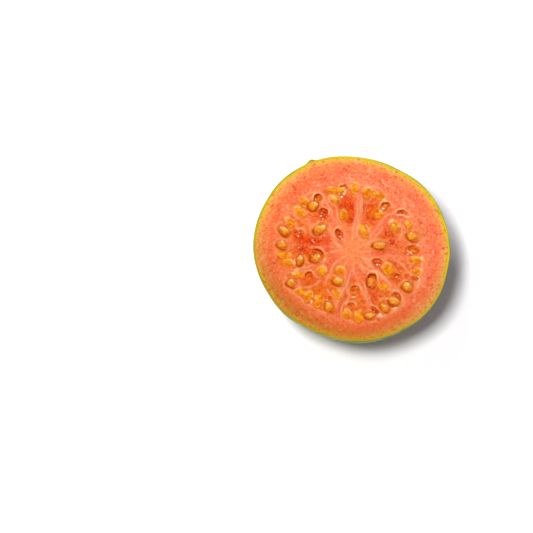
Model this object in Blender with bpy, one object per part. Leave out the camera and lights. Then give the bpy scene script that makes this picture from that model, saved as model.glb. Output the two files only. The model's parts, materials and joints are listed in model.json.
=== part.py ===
"""Half of a pink guava, cut crosswise and lying on its blossom end with the cut face up.

The fruit grew as one piece, so it is one solid: a rounded outside, a level cut face with
its rosette of pulp lobes, the seeds fused into the pulp, and the dried crown below.
Metres, +Z up. The middle of the flat resting ring is near the origin, at Z = 0.
"""
import math
import random

import bmesh
import bpy
from mathutils import Euler, Matrix, Vector

MM = 0.001

# Outside of the half
CUT_HEIGHT = 27.0 * MM
WIDEST_ABOVE_CUT = 3.0 * MM
ROUND_BELOW_TABLE = 1.5 * MM
# Distance from the core to the edge of the cut face, every 15 degrees from +X
EDGE_RADII = [
    30.5, 30.4, 30.5, 30.5, 30.1, 30.35, 30.7, 31.4, 31.7, 31.85, 31.45, 31.35,
    31.2, 30.75, 30.3, 30.1, 29.5, 29.6, 30.2, 30.45, 30.6, 31.05, 31.0, 30.4,
]
NUB_BEARING = math.radians(114.0)
NUB_WIDTH = math.radians(2.2)
NUB_HEIGHT = 0.85 * MM
NUB_DEPTH = 2.5 * MM
RIB_COUNT = 5
RIB_HEIGHT = 0.35 * MM
EDGE_STEPS = 72
SKIN_RINGS = 13

# Blossom end below: a flat ring to rest on, round a basin that holds the dried crown
BASIN_RADIUS = 6.0 * MM
BASIN_DEPTH = 3.0 * MM
BASIN_RINGS = 4
SEPAL_COUNT = 5
SEPAL_LENGTH = 4.4 * MM
SEPAL_WIDTH = 3.4 * MM
SEPAL_TIP_WIDTH = 0.4 * MM
SEPAL_THICKNESS = 0.9 * MM
SEPAL_LEAN = math.radians(42.0)
SEPAL_ROOT_RADIUS = 2.6 * MM
CROWN_CLEARANCE = 0.5 * MM

# Rosette of pulp lobes: the bearings of the septa in degrees, and each lobe's reach in mm
CORE = Vector((0.0, -0.5 * MM, 0.0))
LOBE_BEARINGS = [12, 43, 82, 119, 144, 172, 199, 215, 258, 288, 316, 351]
LOBE_REACHES = [21.4, 21.3, 22.6, 23.0, 24.0, 23.8, 22.6, 22.4, 23.2, 22.9, 22.8, 21.9]
LOBE_INNER = 3.4 * MM
LOBE_SUNK = 0.6 * MM
SEPTUM_WIDTH = 1.3 * MM
LOBE_CORNER = 1.6 * MM
LOBE_POINTS = 22
LOBE_MIDDLE_SHARE = 0.62
LOBE_CUTTER_HEIGHT = 2.4 * MM
HALVINGS = 24

# Seeds that stand out of the pulp: place across and up the cut face, length and width
# in mm, and the turn of the long way in degrees
PROUD_SEEDS = [
    (-12.2, 14.2, 3.3, 3.0, -95), (-21.4, 6.0, 3.8, 2.5, -45), (-10.1, 6.6, 4.1, 3.0, 30),
    (-22.1, 1.4, 2.9, 2.8, -30), (-16.4, -3.7, 3.5, 2.2, 85), (-19.2, -11.3, 2.8, 2.7, -50),
    (-7.5, -19.0, 3.3, 2.7, -75), (-4.6, -10.7, 3.6, 2.4, -15), (5.2, -21.9, 3.5, 2.3, -5),
    (12.8, -17.2, 3.8, 2.8, -30), (9.9, -19.3, 3.6, 2.4, -60), (17.1, -12.5, 3.4, 3.0, -35),
    (8.6, 1.1, 4.3, 2.7, -4), (12.9, 7.4, 3.6, 2.2, 110), (19.1, 4.1, 4.1, 2.9, -5),
    (3.6, 5.7, 4.0, 2.5, 100), (-3.2, 19.8, 3.2, 2.4, 30), (-5.5, 16.4, 2.9, 2.2, -50),
]
# Seeds cut flush with the pulp or just under it
FLUSH_SEEDS = [
    (-15.1, 15.3, 3.0, 2.0, -60), (-16.4, 12.0, 3.4, 2.4, -50), (-19.7, 8.5, 3.1, 1.8, -55),
    (-21.9, -2.0, 3.5, 1.9, 0), (-20.4, -4.4, 2.8, 1.8, -10), (-17.4, -8.4, 3.3, 1.8, -5),
    (-9.8, -7.4, 2.8, 2.5, 45), (-16.7, -14.2, 2.3, 2.1, 0), (-14.1, -15.7, 3.6, 2.1, 75),
    (-10.8, -17.3, 3.6, 2.2, 80), (-4.9, -14.9, 3.0, 2.1, -65), (-1.9, -21.4, 2.7, 2.1, 80),
    (1.8, -22.3, 3.2, 2.5, 75), (9.5, -12.4, 2.9, 2.1, -15), (11.0, -6.7, 3.6, 2.9, -20),
    (20.0, -7.3, 2.2, 2.0, 80), (17.5, 7.9, 2.5, 1.9, -70), (4.6, 18.6, 3.2, 2.3, 88),
    (6.9, 18.2, 2.4, 1.6, -60), (8.8, 17.5, 2.9, 1.9, 35), (8.4, 11.2, 2.6, 1.9, 35),
    (-6.6, 19.4, 2.8, 1.9, 10), (0.8, 20.0, 3.1, 2.4, 88), (-3.0, 11.3, 2.9, 1.6, 75),
    (-3.9, -7.4, 2.7, 2.1, 0), (19.9, -3.8, 3.6, 2.0, 5),
]
# Sockets that a seed fell out of, or that a seed lies low in
DEEP_SOCKETS = [
    (-10.8, 16.9, 2.8, 2.7, 0), (-9.1, 12.4, 2.7, 2.3, -30), (-11.6, -2.0, 4.8, 4.1, -10),
    (-0.6, -18.3, 2.8, 1.6, -10), (6.8, -20.7, 3.6, 1.2, -50), (5.9, -10.5, 4.9, 3.2, 82),
    (7.6, -4.5, 3.4, 2.7, 0), (19.2, -9.5, 2.8, 1.3, -25), (17.0, -11.0, 2.0, 1.2, -5),
    (15.7, 12.0, 3.6, 1.7, -5), (10.3, 14.4, 3.1, 2.4, 15), (-4.2, 4.9, 3.6, 2.1, 110),
    (-2.6, 20.6, 3.0, 1.6, -12),
]
# Shallow sockets, where the knife took the seed and most of its sac
SHALLOW_SOCKETS = [
    (-16.7, 5.2, 3.1, 2.5, 20), (-15.3, 0.0, 3.2, 1.6, 5), (-13.7, -8.8, 2.5, 2.6, 0),
    (0.7, -13.5, 2.9, 3.2, 10), (14.3, -9.2, 2.5, 2.0, -15), (13.3, -16.2, 3.4, 2.2, -45),
    (12.6, 2.4, 2.6, 1.5, -20), (18.7, -0.1, 4.4, 2.6, 0), (11.5, 5.3, 2.3, 1.8, 10),
    (-7.0, -16.2, 1.8, 1.3, -50), (0.0, 14.5, 3.2, 4.6, 10),
]
# Seeds that lie low in a socket
LOW_SEEDS = [
    (-11.5, -3.0, 3.0, 2.7, 20), (5.9, -10.6, 2.7, 2.3, 95), (10.1, 14.0, 2.2, 1.6, 30),
    (-10.8, 16.5, 2.2, 1.7, 30), (18.9, -0.8, 2.8, 1.5, -15),
]
PROUD_LIFT = 0.2 * MM
FLUSH_LIFT = -0.6 * MM
LOW_LIFT = -0.6 * MM
SEED_THICKNESS = 2.1 * MM
DEEP_SOCKET = 1.5 * MM
SHALLOW_SOCKET = 0.9 * MM
SEED_SIDES = 10
SEED_RINGS = 6
SEED_TILT = math.radians(9.0)
SEED_TAPER = 0.22
RANDOM_SEED = 11

# Colours (linear), from the photo, and roughnesses
FLESH = (0.88, 0.19, 0.075, 1.0)
SKIN = (0.42, 0.45, 0.035, 1.0)
GOLD = (0.83, 0.36, 0.045, 1.0)
DRY_BROWN = (0.12, 0.065, 0.03, 1.0)
FLESH_ROUGHNESS = 0.35
SKIN_ROUGHNESS = 0.45
SEED_ROUGHNESS = 0.3
CROWN_ROUGHNESS = 0.8
SHARP_ANGLE = math.radians(40.0)


def new_material(name, colour, roughness):
    """A Principled material of one colour."""
    material = bpy.data.materials.new(name)
    material.use_nodes = True
    shader = material.node_tree.nodes["Principled BSDF"]
    shader.inputs["Base Color"].default_value = colour
    shader.inputs["Roughness"].default_value = roughness
    shader.inputs["Metallic"].default_value = 0.0
    material.diffuse_color = colour
    return material


def new_object(name, shape, collection, materials):
    """Turn a bmesh into a named object with outward faces."""
    bmesh.ops.recalc_face_normals(shape, faces=shape.faces)
    mesh = bpy.data.meshes.new(name)
    shape.to_mesh(mesh)
    shape.free()
    for material in materials:
        mesh.materials.append(material)
    item = bpy.data.objects.new(name, mesh)
    collection.objects.link(item)
    return item


def new_collection(name):
    collection = bpy.data.collections.new(name)
    bpy.context.scene.collection.children.link(collection)
    return collection


def edge_radius(bearing):
    """Radius of the cut face at a bearing, on a smooth closed curve through EDGE_RADII."""
    count = len(EDGE_RADII)
    place = (bearing / math.tau) % 1.0 * count
    index = int(place)
    share = place - index
    before, start, end, after = (EDGE_RADII[(index + step) % count] for step in (-1, 0, 1, 2))
    bend = 2.0 * before - 5.0 * start + 4.0 * end - after
    twist = 3.0 * (start - end) + after - before
    radius = start + 0.5 * share * ((end - before) + share * (bend + share * twist))
    return radius * MM


def nub(bearing, depth):
    """A small lump of the skin at the cut's upper left edge."""
    aside = (bearing - NUB_BEARING + math.pi) % math.tau - math.pi
    return NUB_HEIGHT * math.exp(-(aside / NUB_WIDTH) ** 2 - (depth / NUB_DEPTH) ** 2)


def skin_profile():
    """Shares of the edge radius and heights, from the cut down to the resting ring."""
    middle = CUT_HEIGHT + WIDEST_ABOVE_CUT
    half_height = middle + ROUND_BELOW_TABLE
    start = math.asin(WIDEST_ABOVE_CUT / half_height)
    end = math.asin(middle / half_height)
    profile = []
    for ring in range(SKIN_RINGS + 1):
        turn = start + (end - start) * ring / SKIN_RINGS
        profile.append((math.cos(turn) / math.cos(start), middle - half_height * math.sin(turn)))
    return profile


def ring_points(share, height):
    """One level ring of the skin."""
    depth = CUT_HEIGHT - height
    rib_share = (1.0 - share) * share * 4.0
    points = []
    for step in range(EDGE_STEPS):
        bearing = math.tau * step / EDGE_STEPS
        radius = edge_radius(bearing) * share + nub(bearing, depth)
        radius += RIB_HEIGHT * rib_share * math.cos(RIB_COUNT * bearing)
        points.append((radius * math.cos(bearing), radius * math.sin(bearing), height))
    return points


def basin_points(ring):
    """One ring of the blossom end's basin, which is a shallow bowl open downwards."""
    share = 1.0 - ring / BASIN_RINGS
    height = BASIN_DEPTH * (1.0 - share ** 2)
    radius = BASIN_RADIUS * share
    steps = (math.tau * step / EDGE_STEPS for step in range(EDGE_STEPS))
    return [(radius * math.cos(turn), radius * math.sin(turn), height) for turn in steps]


def make_body(collection, flesh, skin):
    """The half itself: skin, resting ring and basin below, level cut face on top."""
    shape = bmesh.new()
    rings = []
    for share, height in skin_profile():
        rings.append([shape.verts.new(point) for point in ring_points(share, max(height, 0.0))])
    for ring in range(BASIN_RINGS):
        rings.append([shape.verts.new(point) for point in basin_points(ring)])
    for upper, lower in zip(rings, rings[1:]):
        for step in range(EDGE_STEPS):
            after = (step + 1) % EDGE_STEPS
            shape.faces.new((upper[step], lower[step], lower[after], upper[after]))
    crown_floor = shape.verts.new((0.0, 0.0, BASIN_DEPTH))
    for step in range(EDGE_STEPS):
        shape.faces.new((rings[-1][step], crown_floor, rings[-1][(step + 1) % EDGE_STEPS]))
    for face in shape.faces:
        face.material_index = 1
    shape.faces.new(rings[0])
    return new_object("guava_half", shape, collection, [flesh, skin])


def lobe_depth_inside(x, y, start, end, reach):
    """How far a point of the cut face is inside one lobe; negative outside it."""
    radius = math.hypot(x, y)
    bearing = math.atan2(y, x)
    past_start = (bearing - start + math.pi) % math.tau - math.pi
    before_end = (end - bearing + math.pi) % math.tau - math.pi
    walls = [
        radius * math.sin(past_start) - 0.5 * SEPTUM_WIDTH,
        radius * math.sin(before_end) - 0.5 * SEPTUM_WIDTH,
        reach - radius,
        radius - LOBE_INNER,
    ]
    return -LOBE_CORNER * math.log(sum(math.exp(-wall / LOBE_CORNER) for wall in walls))


def lobe_outline(start, end, reach):
    """The edge of one lobe, found along rays from its middle."""
    middle_bearing = 0.5 * (start + end)
    middle_radius = LOBE_MIDDLE_SHARE * reach
    middle = Vector((math.cos(middle_bearing), math.sin(middle_bearing))) * middle_radius
    outline = []
    for step in range(LOBE_POINTS):
        turn = math.tau * step / LOBE_POINTS
        inside, outside = 0.0, reach
        for _ in range(HALVINGS):
            halfway = 0.5 * (inside + outside)
            x = middle.x + halfway * math.cos(turn)
            y = middle.y + halfway * math.sin(turn)
            if lobe_depth_inside(x, y, start, end, reach) > 0.0:
                inside = halfway
            else:
                outside = halfway
        outline.append((middle.x + inside * math.cos(turn), middle.y + inside * math.sin(turn)))
    return outline


def make_lobes(collection, flesh):
    """Shallow cutters, one for each lobe of pulp between two septa."""
    count = len(LOBE_BEARINGS)
    for number in range(count):
        start = math.radians(LOBE_BEARINGS[number])
        end = math.radians(LOBE_BEARINGS[(number + 1) % count])
        if end < start:
            end += math.tau
        shape = bmesh.new()
        bottom = []
        for x, y in lobe_outline(start, end, LOBE_REACHES[number] * MM):
            bottom.append(shape.verts.new((x + CORE.x, y + CORE.y, CUT_HEIGHT - LOBE_SUNK)))
        floor = shape.faces.new(bottom)
        walls = bmesh.ops.extrude_face_region(shape, geom=[floor])
        raised = [item for item in walls["geom"] if isinstance(item, bmesh.types.BMVert)]
        bmesh.ops.translate(shape, verts=raised, vec=(0.0, 0.0, LOBE_CUTTER_HEIGHT))
        new_object(f"lobe_{number}", shape, collection, [flesh])


def make_pip(name, place, size, turn, tilt, collection, material):
    """A few-sided egg, narrower at one end: a seed, or the hollow that a seed left."""
    shape = bmesh.new()
    bmesh.ops.create_uvsphere(shape, u_segments=SEED_SIDES, v_segments=SEED_RINGS, radius=0.5)
    for vert in shape.verts:
        vert.co.y *= 1.0 - SEED_TAPER * 2.0 * vert.co.x
    stretch = Matrix.Diagonal((*size, 1.0))
    lean = Euler((tilt[0], tilt[1], turn)).to_matrix().to_4x4()
    shape.transform(Matrix.Translation(place) @ lean @ stretch)
    return new_object(name, shape, collection, [material])


def make_pips(name, rows, lift, thickness, collection, material):
    """One group of seeds or sockets, each tilted a little by the same seeded draw."""
    draw = random.Random(RANDOM_SEED)
    pulp_height = CUT_HEIGHT - LOBE_SUNK
    for number, (x, y, length, width, turn) in enumerate(rows):
        tilt = (draw.uniform(-SEED_TILT, SEED_TILT), draw.uniform(-SEED_TILT, SEED_TILT))
        place = Vector((x * MM, y * MM, pulp_height + lift))
        size = (length * MM, width * MM, thickness)
        make_pip(f"{name}_{number}", place, size, math.radians(turn), tilt, collection, material)


def make_crown(collection, material):
    """The dried sepals that stay on the blossom end, rooted in the basin's floor."""
    for number in range(SEPAL_COUNT):
        shape = bmesh.new()
        bmesh.ops.create_cone(
            shape, cap_ends=True, segments=4,
            radius1=0.5 * SEPAL_WIDTH, radius2=0.5 * SEPAL_TIP_WIDTH, depth=SEPAL_LENGTH)
        thin = Matrix.Diagonal((SEPAL_THICKNESS / SEPAL_WIDTH, 1.0, 1.0, 1.0))
        hang = Matrix.Rotation(math.pi - SEPAL_LEAN, 4, "Y")
        out = Matrix.Translation((SEPAL_ROOT_RADIUS, 0.0, 0.0))
        around = Matrix.Rotation(math.tau * number / SEPAL_COUNT, 4, "Z")
        shape.transform(around @ out @ hang @ thin)
        lowest = min(vert.co.z for vert in shape.verts)
        bmesh.ops.translate(shape, verts=shape.verts, vec=(0.0, 0.0, CROWN_CLEARANCE - lowest))
        new_object(f"sepal_{number}", shape, collection, [material])


def combine(body, collection, operation):
    """Fuse a collection to the body, or cut it out, and remove the collection's objects."""
    modifier = body.modifiers.new(operation.title(), "BOOLEAN")
    modifier.operation = operation
    modifier.operand_type = "COLLECTION"
    modifier.collection = collection
    modifier.solver = "MANIFOLD"
    modifier.material_mode = "TRANSFER"
    graph = bpy.context.evaluated_depsgraph_get()
    result = bpy.data.meshes.new_from_object(body.evaluated_get(graph))
    body.modifiers.clear()
    body.data = result
    for item in list(collection.objects):
        bpy.data.objects.remove(item, do_unlink=True)
    bpy.data.collections.remove(collection)


def finish_body(body):
    """Put the middle of the part's box on the Z axis, and shade the round parts smooth."""
    lows = [min(vert.co[axis] for vert in body.data.vertices) for axis in range(2)]
    highs = [max(vert.co[axis] for vert in body.data.vertices) for axis in range(2)]
    middle = [-0.5 * (low + high) for low, high in zip(lows, highs)]
    body.data.transform(Matrix.Translation((middle[0], middle[1], 0.0)))
    body.data.shade_smooth()
    body.data.set_sharp_from_angle(angle=SHARP_ANGLE)


for leftover in list(bpy.data.objects):
    bpy.data.objects.remove(leftover, do_unlink=True)

flesh_material = new_material("guava_flesh", FLESH, FLESH_ROUGHNESS)
skin_material = new_material("guava_skin", SKIN, SKIN_ROUGHNESS)
seed_material = new_material("guava_seed", GOLD, SEED_ROUGHNESS)
crown_material = new_material("guava_crown", DRY_BROWN, CROWN_ROUGHNESS)

half = make_body(new_collection("guava"), flesh_material, skin_material)

hollows = new_collection("hollows")
make_lobes(hollows, flesh_material)
make_pips("deep_socket", DEEP_SOCKETS, 0.0, 2.0 * DEEP_SOCKET, hollows, flesh_material)
make_pips("shallow_socket", SHALLOW_SOCKETS, 0.0, 2.0 * SHALLOW_SOCKET, hollows, flesh_material)
combine(half, hollows, "DIFFERENCE")

growth = new_collection("growth")
make_pips("proud", PROUD_SEEDS, PROUD_LIFT, SEED_THICKNESS, growth, seed_material)
make_pips("flush", FLUSH_SEEDS, FLUSH_LIFT, SEED_THICKNESS, growth, seed_material)
make_pips("low", LOW_SEEDS, LOW_LIFT, SEED_THICKNESS, growth, seed_material)
make_crown(growth, crown_material)
combine(half, growth, "UNION")

finish_body(half)
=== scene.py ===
import json
import math
import random

import bmesh
import bpy
import numpy as np
from mathutils import Matrix, Vector

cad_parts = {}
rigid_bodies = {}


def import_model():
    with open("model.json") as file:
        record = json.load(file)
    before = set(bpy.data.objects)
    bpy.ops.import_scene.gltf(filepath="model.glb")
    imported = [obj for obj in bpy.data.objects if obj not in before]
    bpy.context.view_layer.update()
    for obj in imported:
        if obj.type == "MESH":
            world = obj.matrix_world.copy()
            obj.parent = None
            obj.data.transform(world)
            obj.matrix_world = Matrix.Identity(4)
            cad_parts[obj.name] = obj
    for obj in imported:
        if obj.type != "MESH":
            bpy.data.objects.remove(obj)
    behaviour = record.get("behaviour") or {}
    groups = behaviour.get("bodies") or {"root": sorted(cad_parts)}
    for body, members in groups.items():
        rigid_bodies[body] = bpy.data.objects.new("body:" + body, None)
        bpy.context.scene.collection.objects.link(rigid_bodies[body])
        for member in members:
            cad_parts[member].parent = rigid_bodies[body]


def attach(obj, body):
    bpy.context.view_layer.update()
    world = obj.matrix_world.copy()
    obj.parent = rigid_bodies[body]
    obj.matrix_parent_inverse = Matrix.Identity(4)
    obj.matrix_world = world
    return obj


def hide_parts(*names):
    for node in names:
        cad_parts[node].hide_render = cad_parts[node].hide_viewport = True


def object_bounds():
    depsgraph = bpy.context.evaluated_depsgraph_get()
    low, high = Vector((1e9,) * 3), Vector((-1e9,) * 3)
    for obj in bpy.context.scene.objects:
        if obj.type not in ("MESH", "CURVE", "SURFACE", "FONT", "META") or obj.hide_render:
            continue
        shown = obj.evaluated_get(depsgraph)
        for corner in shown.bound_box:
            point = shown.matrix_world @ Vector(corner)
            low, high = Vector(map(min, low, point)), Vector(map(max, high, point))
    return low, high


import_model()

cad_low, cad_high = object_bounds()

# Flesh.
# The soft coral body of half a guava, cut crosswise. Dense flesh with gritty stone cells lies
# outside, and pale septa between lobes of wet pulp inside. It is grown to the skin round it.

# The edge of the cut wanders round the core. The outside is a round end that narrows to a
# small flat ring, with the blossom end's basin inside it. All lengths are in millimetres.
MM = 0.001
CUT_HEIGHT = 27.0
WIDEST_ABOVE_CUT = 3.0
ROUND_BELOW_TABLE = 1.5
EDGE_RADII = np.array([
    30.5, 30.4, 30.5, 30.5, 30.1, 30.35, 30.7, 31.4, 31.7, 31.85, 31.45, 31.35,
    31.2, 30.75, 30.3, 30.1, 29.5, 29.6, 30.2, 30.45, 30.6, 31.05, 31.0, 30.4,
])
NUB_BEARING = math.radians(114.0)
NUB_WIDTH = math.radians(2.2)
NUB_HEIGHT = 0.85
NUB_DEPTH = 2.5
RIB_COUNT = 5
RIB_HEIGHT = 0.35
BASIN_RADIUS = 6.0
BASIN_DEPTH = 3.0
SKIN_THICKNESS = 0.55
OLIVE_SIDE = 222.0
LIME_SIDE = -42.0
ROUND_MIDDLE = CUT_HEIGHT + WIDEST_ABOVE_CUT
ROUND_HALF_HEIGHT = ROUND_MIDDLE + ROUND_BELOW_TABLE
ROUND_START = math.asin(WIDEST_ABOVE_CUT / ROUND_HALF_HEIGHT)
ROUND_END = math.asin(ROUND_MIDDLE / ROUND_HALF_HEIGHT)


def between(before, start, end, after, share):
    """A place on the smooth curve through four values, a share of the way along its middle."""
    bend = 2.0 * before - 5.0 * start + 4.0 * end - after
    twist = 3.0 * (start - end) + after - before
    return start + 0.5 * share * ((end - before) + share * (bend + share * twist))


def wrap(angle, turn=math.tau):
    """The same angle, from minus half a turn to half a turn."""
    return (angle + 0.5 * turn) % turn - 0.5 * turn


def edge_radius(bearing):
    """Radius of the cut at each bearing, on a smooth closed curve through EDGE_RADII."""
    count = len(EDGE_RADII)
    place = (bearing / math.tau) % 1.0 * count
    index = np.floor(place).astype(int)
    return between(*(EDGE_RADII[(index + step) % count] for step in (-1, 0, 1, 2)), place - index)


def ring_points(bearing, radius, height):
    """Points of a level ring, one at each bearing."""
    level = np.full_like(bearing, height)
    return np.stack([radius * np.cos(bearing), radius * np.sin(bearing), level], axis=-1)


def outside_ring(bearing, turn, inset=0.0):
    """One ring of the round outside, from the cut (ROUND_START) down to the table."""
    share = math.cos(turn) / math.cos(ROUND_START)
    height = max(ROUND_MIDDLE - ROUND_HALF_HEIGHT * math.sin(turn), 0.0)
    aside = wrap(bearing - NUB_BEARING)
    depth = CUT_HEIGHT - height
    radius = edge_radius(bearing) * share
    radius += NUB_HEIGHT * np.exp(-(aside / NUB_WIDTH) ** 2 - (depth / NUB_DEPTH) ** 2)
    radius += RIB_HEIGHT * (1.0 - share) * share * 4.0 * np.cos(RIB_COUNT * bearing)
    return ring_points(bearing, radius - inset * math.cos(turn), height + inset * math.sin(turn))


def basin_ring(bearing, share, inset=0.0):
    """One ring of the shallow basin of the blossom end, open downwards."""
    return ring_points(bearing, BASIN_RADIUS * share, BASIN_DEPTH * (1.0 - share ** 2) + inset)


CAD_EDGE_STEPS = 72
edge_ring = outside_ring(np.arange(CAD_EDGE_STEPS) * math.tau / CAD_EDGE_STEPS, ROUND_START)
CENTRING = -0.5 * (edge_ring.min(axis=0) + edge_ring.max(axis=0)) * (1.0, 1.0, 0.0)
CAD_LOW = np.array(list(cad_low)) / MM
CAD_HIGH = np.array(list(cad_high)) / MM


def add_to_scene(name, data):
    """A new object in the scene, made of a mesh, a lamp or a camera."""
    made = bpy.data.objects.new(name, data)
    bpy.context.scene.collection.objects.link(made)
    return made


def make_piece(name, points, faces):
    """A smooth mesh object at the origin, from points in millimetres about the core."""
    mesh = bpy.data.meshes.new(name)
    mesh.from_pydata(((np.asarray(points) + CENTRING) * MM).tolist(), [], faces)
    mesh.update()
    mesh.shade_smooth()
    return add_to_scene(name, mesh)


def set_values(mesh, name, values):
    """Keep one number for each point of a mesh, for its material to read."""
    layer = mesh.attributes.new(name, "FLOAT", "POINT")
    layer.data.foreach_set("value", np.asarray(values, dtype=np.float32).ravel())


NOISE_CELLS = 64


def soft_noise(x, y, size, seed):
    """Smooth lumps of one size, from -1 to 1, between seeded random values on a grid."""
    values = np.random.default_rng(seed).uniform(-1.0, 1.0, (NOISE_CELLS, NOISE_CELLS))
    across, along = x / size + 0.37 * seed, y / size + 0.71 * seed
    left, low = np.floor(across).astype(int), np.floor(along).astype(int)
    u, v = across - left, along - low
    u, v = u * u * (3.0 - 2.0 * u), v * v * (3.0 - 2.0 * v)
    left, low = left % NOISE_CELLS, low % NOISE_CELLS
    right, high = (left + 1) % NOISE_CELLS, (low + 1) % NOISE_CELLS
    near = values[left, low] * (1.0 - u) + values[right, low] * u
    far = values[left, high] * (1.0 - u) + values[right, high] * u
    return near * (1.0 - v) + far * v


def round_noise(turn, radius, count, size, seed):
    """Lumps that lie round the core: count times 64 of them in a turn, and of one depth."""
    return soft_noise(turn / math.tau * NOISE_CELLS * count, radius / size, 1.0, seed)


def ease(value, low, high):
    """0 below low, 1 above high, smooth between them."""
    value = np.clip((value - low) / (high - low), 0.0, 1.0)
    return value * value * (3.0 - 2.0 * value)


def bump_at(distance, middle, width):
    """A rounded ridge of height 1."""
    return np.exp(-((distance - middle) / width) ** 2)


def side_values(x, y):
    """How much painted shade darkens and browns the front side, and how near its olive and its
    lime-coloured side.
    """
    bearing = np.degrees(np.arctan2(y, x))
    return {
        "front_shade": ease(-0.25 * x - 0.97 * y, -12.0, 26.0),
        "olive": bump_at(wrap(bearing - OLIVE_SIDE, 360.0), 0.0, 36.0),
        "lime": bump_at(wrap(bearing - LIME_SIDE, 360.0), 0.0, 34.0),
        "orange": ease(-x, -2.0, 26.0),
    }


# A guava's seeds lie in the pulp of its lobes. The knife leaves some standing out, cuts
# across the sacs of others, and pulls some out, so that their sockets stay open. Each row is
# a place across and up the face, a length, a width and the long way's turn in degrees.
PROUD_SEEDS = [
    (-12.2, 14.2, 3.3, 3.0, -95), (-21.4, 6.0, 3.8, 2.5, -45), (-10.1, 6.6, 4.1, 3.0, 30),
    (-22.1, 1.4, 2.9, 2.8, -30), (-16.4, -3.7, 3.5, 2.2, 85), (-19.2, -11.3, 2.8, 2.7, -50),
    (-7.5, -19.0, 3.3, 2.7, -75), (-4.6, -10.7, 3.6, 2.4, -15), (5.2, -21.9, 3.5, 2.3, -5),
    (12.8, -17.2, 3.8, 2.8, -30), (9.9, -19.3, 3.6, 2.4, -60), (17.1, -12.5, 3.4, 3.0, -35),
    (8.6, 1.1, 4.3, 2.7, -4), (19.1, 4.1, 4.1, 2.9, 175),
]
FLUSH_SEEDS = [
    (-15.1, 15.3, 3.0, 2.0, -60), (-16.4, 12.0, 3.4, 2.4, -50), (-19.7, 8.5, 3.1, 1.8, -55),
    (-21.9, -2.0, 3.5, 1.9, 0), (-20.4, -4.4, 2.8, 1.8, -10), (-17.4, -8.4, 3.3, 1.8, -5),
    (-9.8, -7.4, 2.8, 2.5, 45), (-16.7, -14.2, 2.3, 2.1, 0), (-14.1, -15.7, 3.6, 2.1, 75),
    (-10.8, -17.3, 3.6, 2.2, 80), (-4.9, -14.9, 3.0, 2.1, -65), (-1.9, -21.4, 2.7, 2.1, 80),
    (1.8, -22.3, 3.2, 2.5, 75), (9.5, -12.4, 2.9, 2.1, -15), (11.0, -6.7, 3.6, 2.9, -20),
    (20.0, -7.3, 2.2, 2.0, 80), (17.5, 7.9, 2.5, 1.9, -70), (4.6, 18.6, 3.2, 2.3, 88),
    (6.9, 18.2, 2.4, 1.6, -60), (8.8, 17.5, 2.9, 1.9, 35), (8.4, 11.2, 2.6, 1.9, 35),
    (-6.6, 19.4, 2.8, 1.9, 10), (0.8, 20.0, 3.1, 2.4, 88), (-3.0, 11.3, 2.9, 1.6, 75),
    (-3.9, -7.4, 2.7, 2.1, 0), (19.9, -3.8, 3.6, 2.0, 5),
]
# Seeds left deep in an open socket
LOW_SEEDS = [
    (-11.5, -3.0, 3.5, 3.1, 20), (5.9, -10.8, 3.5, 2.8, 95), (10.1, 13.9, 2.2, 1.6, 30),
    (-10.8, 16.4, 2.2, 1.7, 30), (19.2, -0.6, 2.8, 1.5, -15),
]
# Seeds that the pulp still holds, so that only their backs show
HELD_SEEDS = [
    (12.9, 7.4, 3.6, 2.4, 110), (3.6, 5.7, 4.0, 2.5, 100), (-3.4, 19.6, 3.2, 2.4, 30),
    (-5.5, 16.4, 2.9, 2.2, -50),
]
# The last two numbers are the bearing of the deepest side and how deep the socket is
SOCKETS = [
    (-10.8, 16.9, 2.8, 2.7, 0, 100, 1.0), (-9.1, 12.4, 2.7, 2.3, -30, 60, 1.0),
    (-16.7, 5.2, 3.1, 2.5, 20, 100, 0.6), (-11.6, -2.0, 4.8, 4.1, -10, 55, 0.9),
    (-15.3, 0.0, 3.2, 1.6, 5, 95, 0.6), (-13.7, -8.8, 2.7, 2.7, 0, 110, 0.8),
    (0.7, -13.5, 3.0, 3.2, 10, 100, 0.8), (-0.6, -18.3, 2.8, 1.6, -10, 80, 0.8),
    (7.1, -20.3, 4.0, 1.5, -50, 45, 1.0), (5.9, -10.5, 4.9, 3.2, 82, 92, 1.0),
    (7.6, -4.5, 3.4, 2.7, 0, 90, 0.8), (14.2, -9.1, 2.5, 2.1, -15, 80, 0.9),
    (13.6, -15.8, 3.8, 2.6, -45, 50, 0.85), (19.2, -9.5, 2.8, 1.3, -25, 40, 0.9),
    (17.0, -11.0, 2.0, 1.2, -5, 90, 0.9), (12.6, 2.4, 2.6, 1.5, -20, 70, 0.7),
    (18.7, -0.1, 4.4, 2.6, 0, 95, 0.7), (15.7, 12.0, 3.6, 1.7, -5, 90, 0.9),
    (11.5, 5.3, 2.3, 1.8, 10, 270, 0.4), (10.3, 14.4, 3.1, 2.4, 15, 85, 1.0),
    (-4.2, 4.9, 3.6, 2.1, 110, 85, 0.9), (-2.6, 20.6, 3.0, 1.6, -12, 85, 0.9),
    (-7.0, -16.2, 1.9, 1.4, -50, 100, 0.75),
]
SOCKET_DEPTH = 1.15


def in_pip(x, y, pip):
    """Share of the way from the middle of a seed or socket (0) to its edge (1)."""
    across, up, length, width, turn = pip[:5]
    cosine, sine = math.cos(math.radians(turn)), math.sin(math.radians(turn))
    along = (x - across) * cosine + (y - up) * sine
    aside = (y - up) * cosine - (x - across) * sine
    return np.hypot(along / (0.5 * length), aside / (0.5 * width))


def towards(x, y, pip, bearing):
    """How far a point lies towards one side of a seed or socket, from -1 to 1."""
    across, up, length, width = pip[:4]
    bearing, reach = math.radians(bearing), 0.25 * (length + width)
    return ((x - across) * math.cos(bearing) + (y - up) * math.sin(bearing)) / reach


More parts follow.
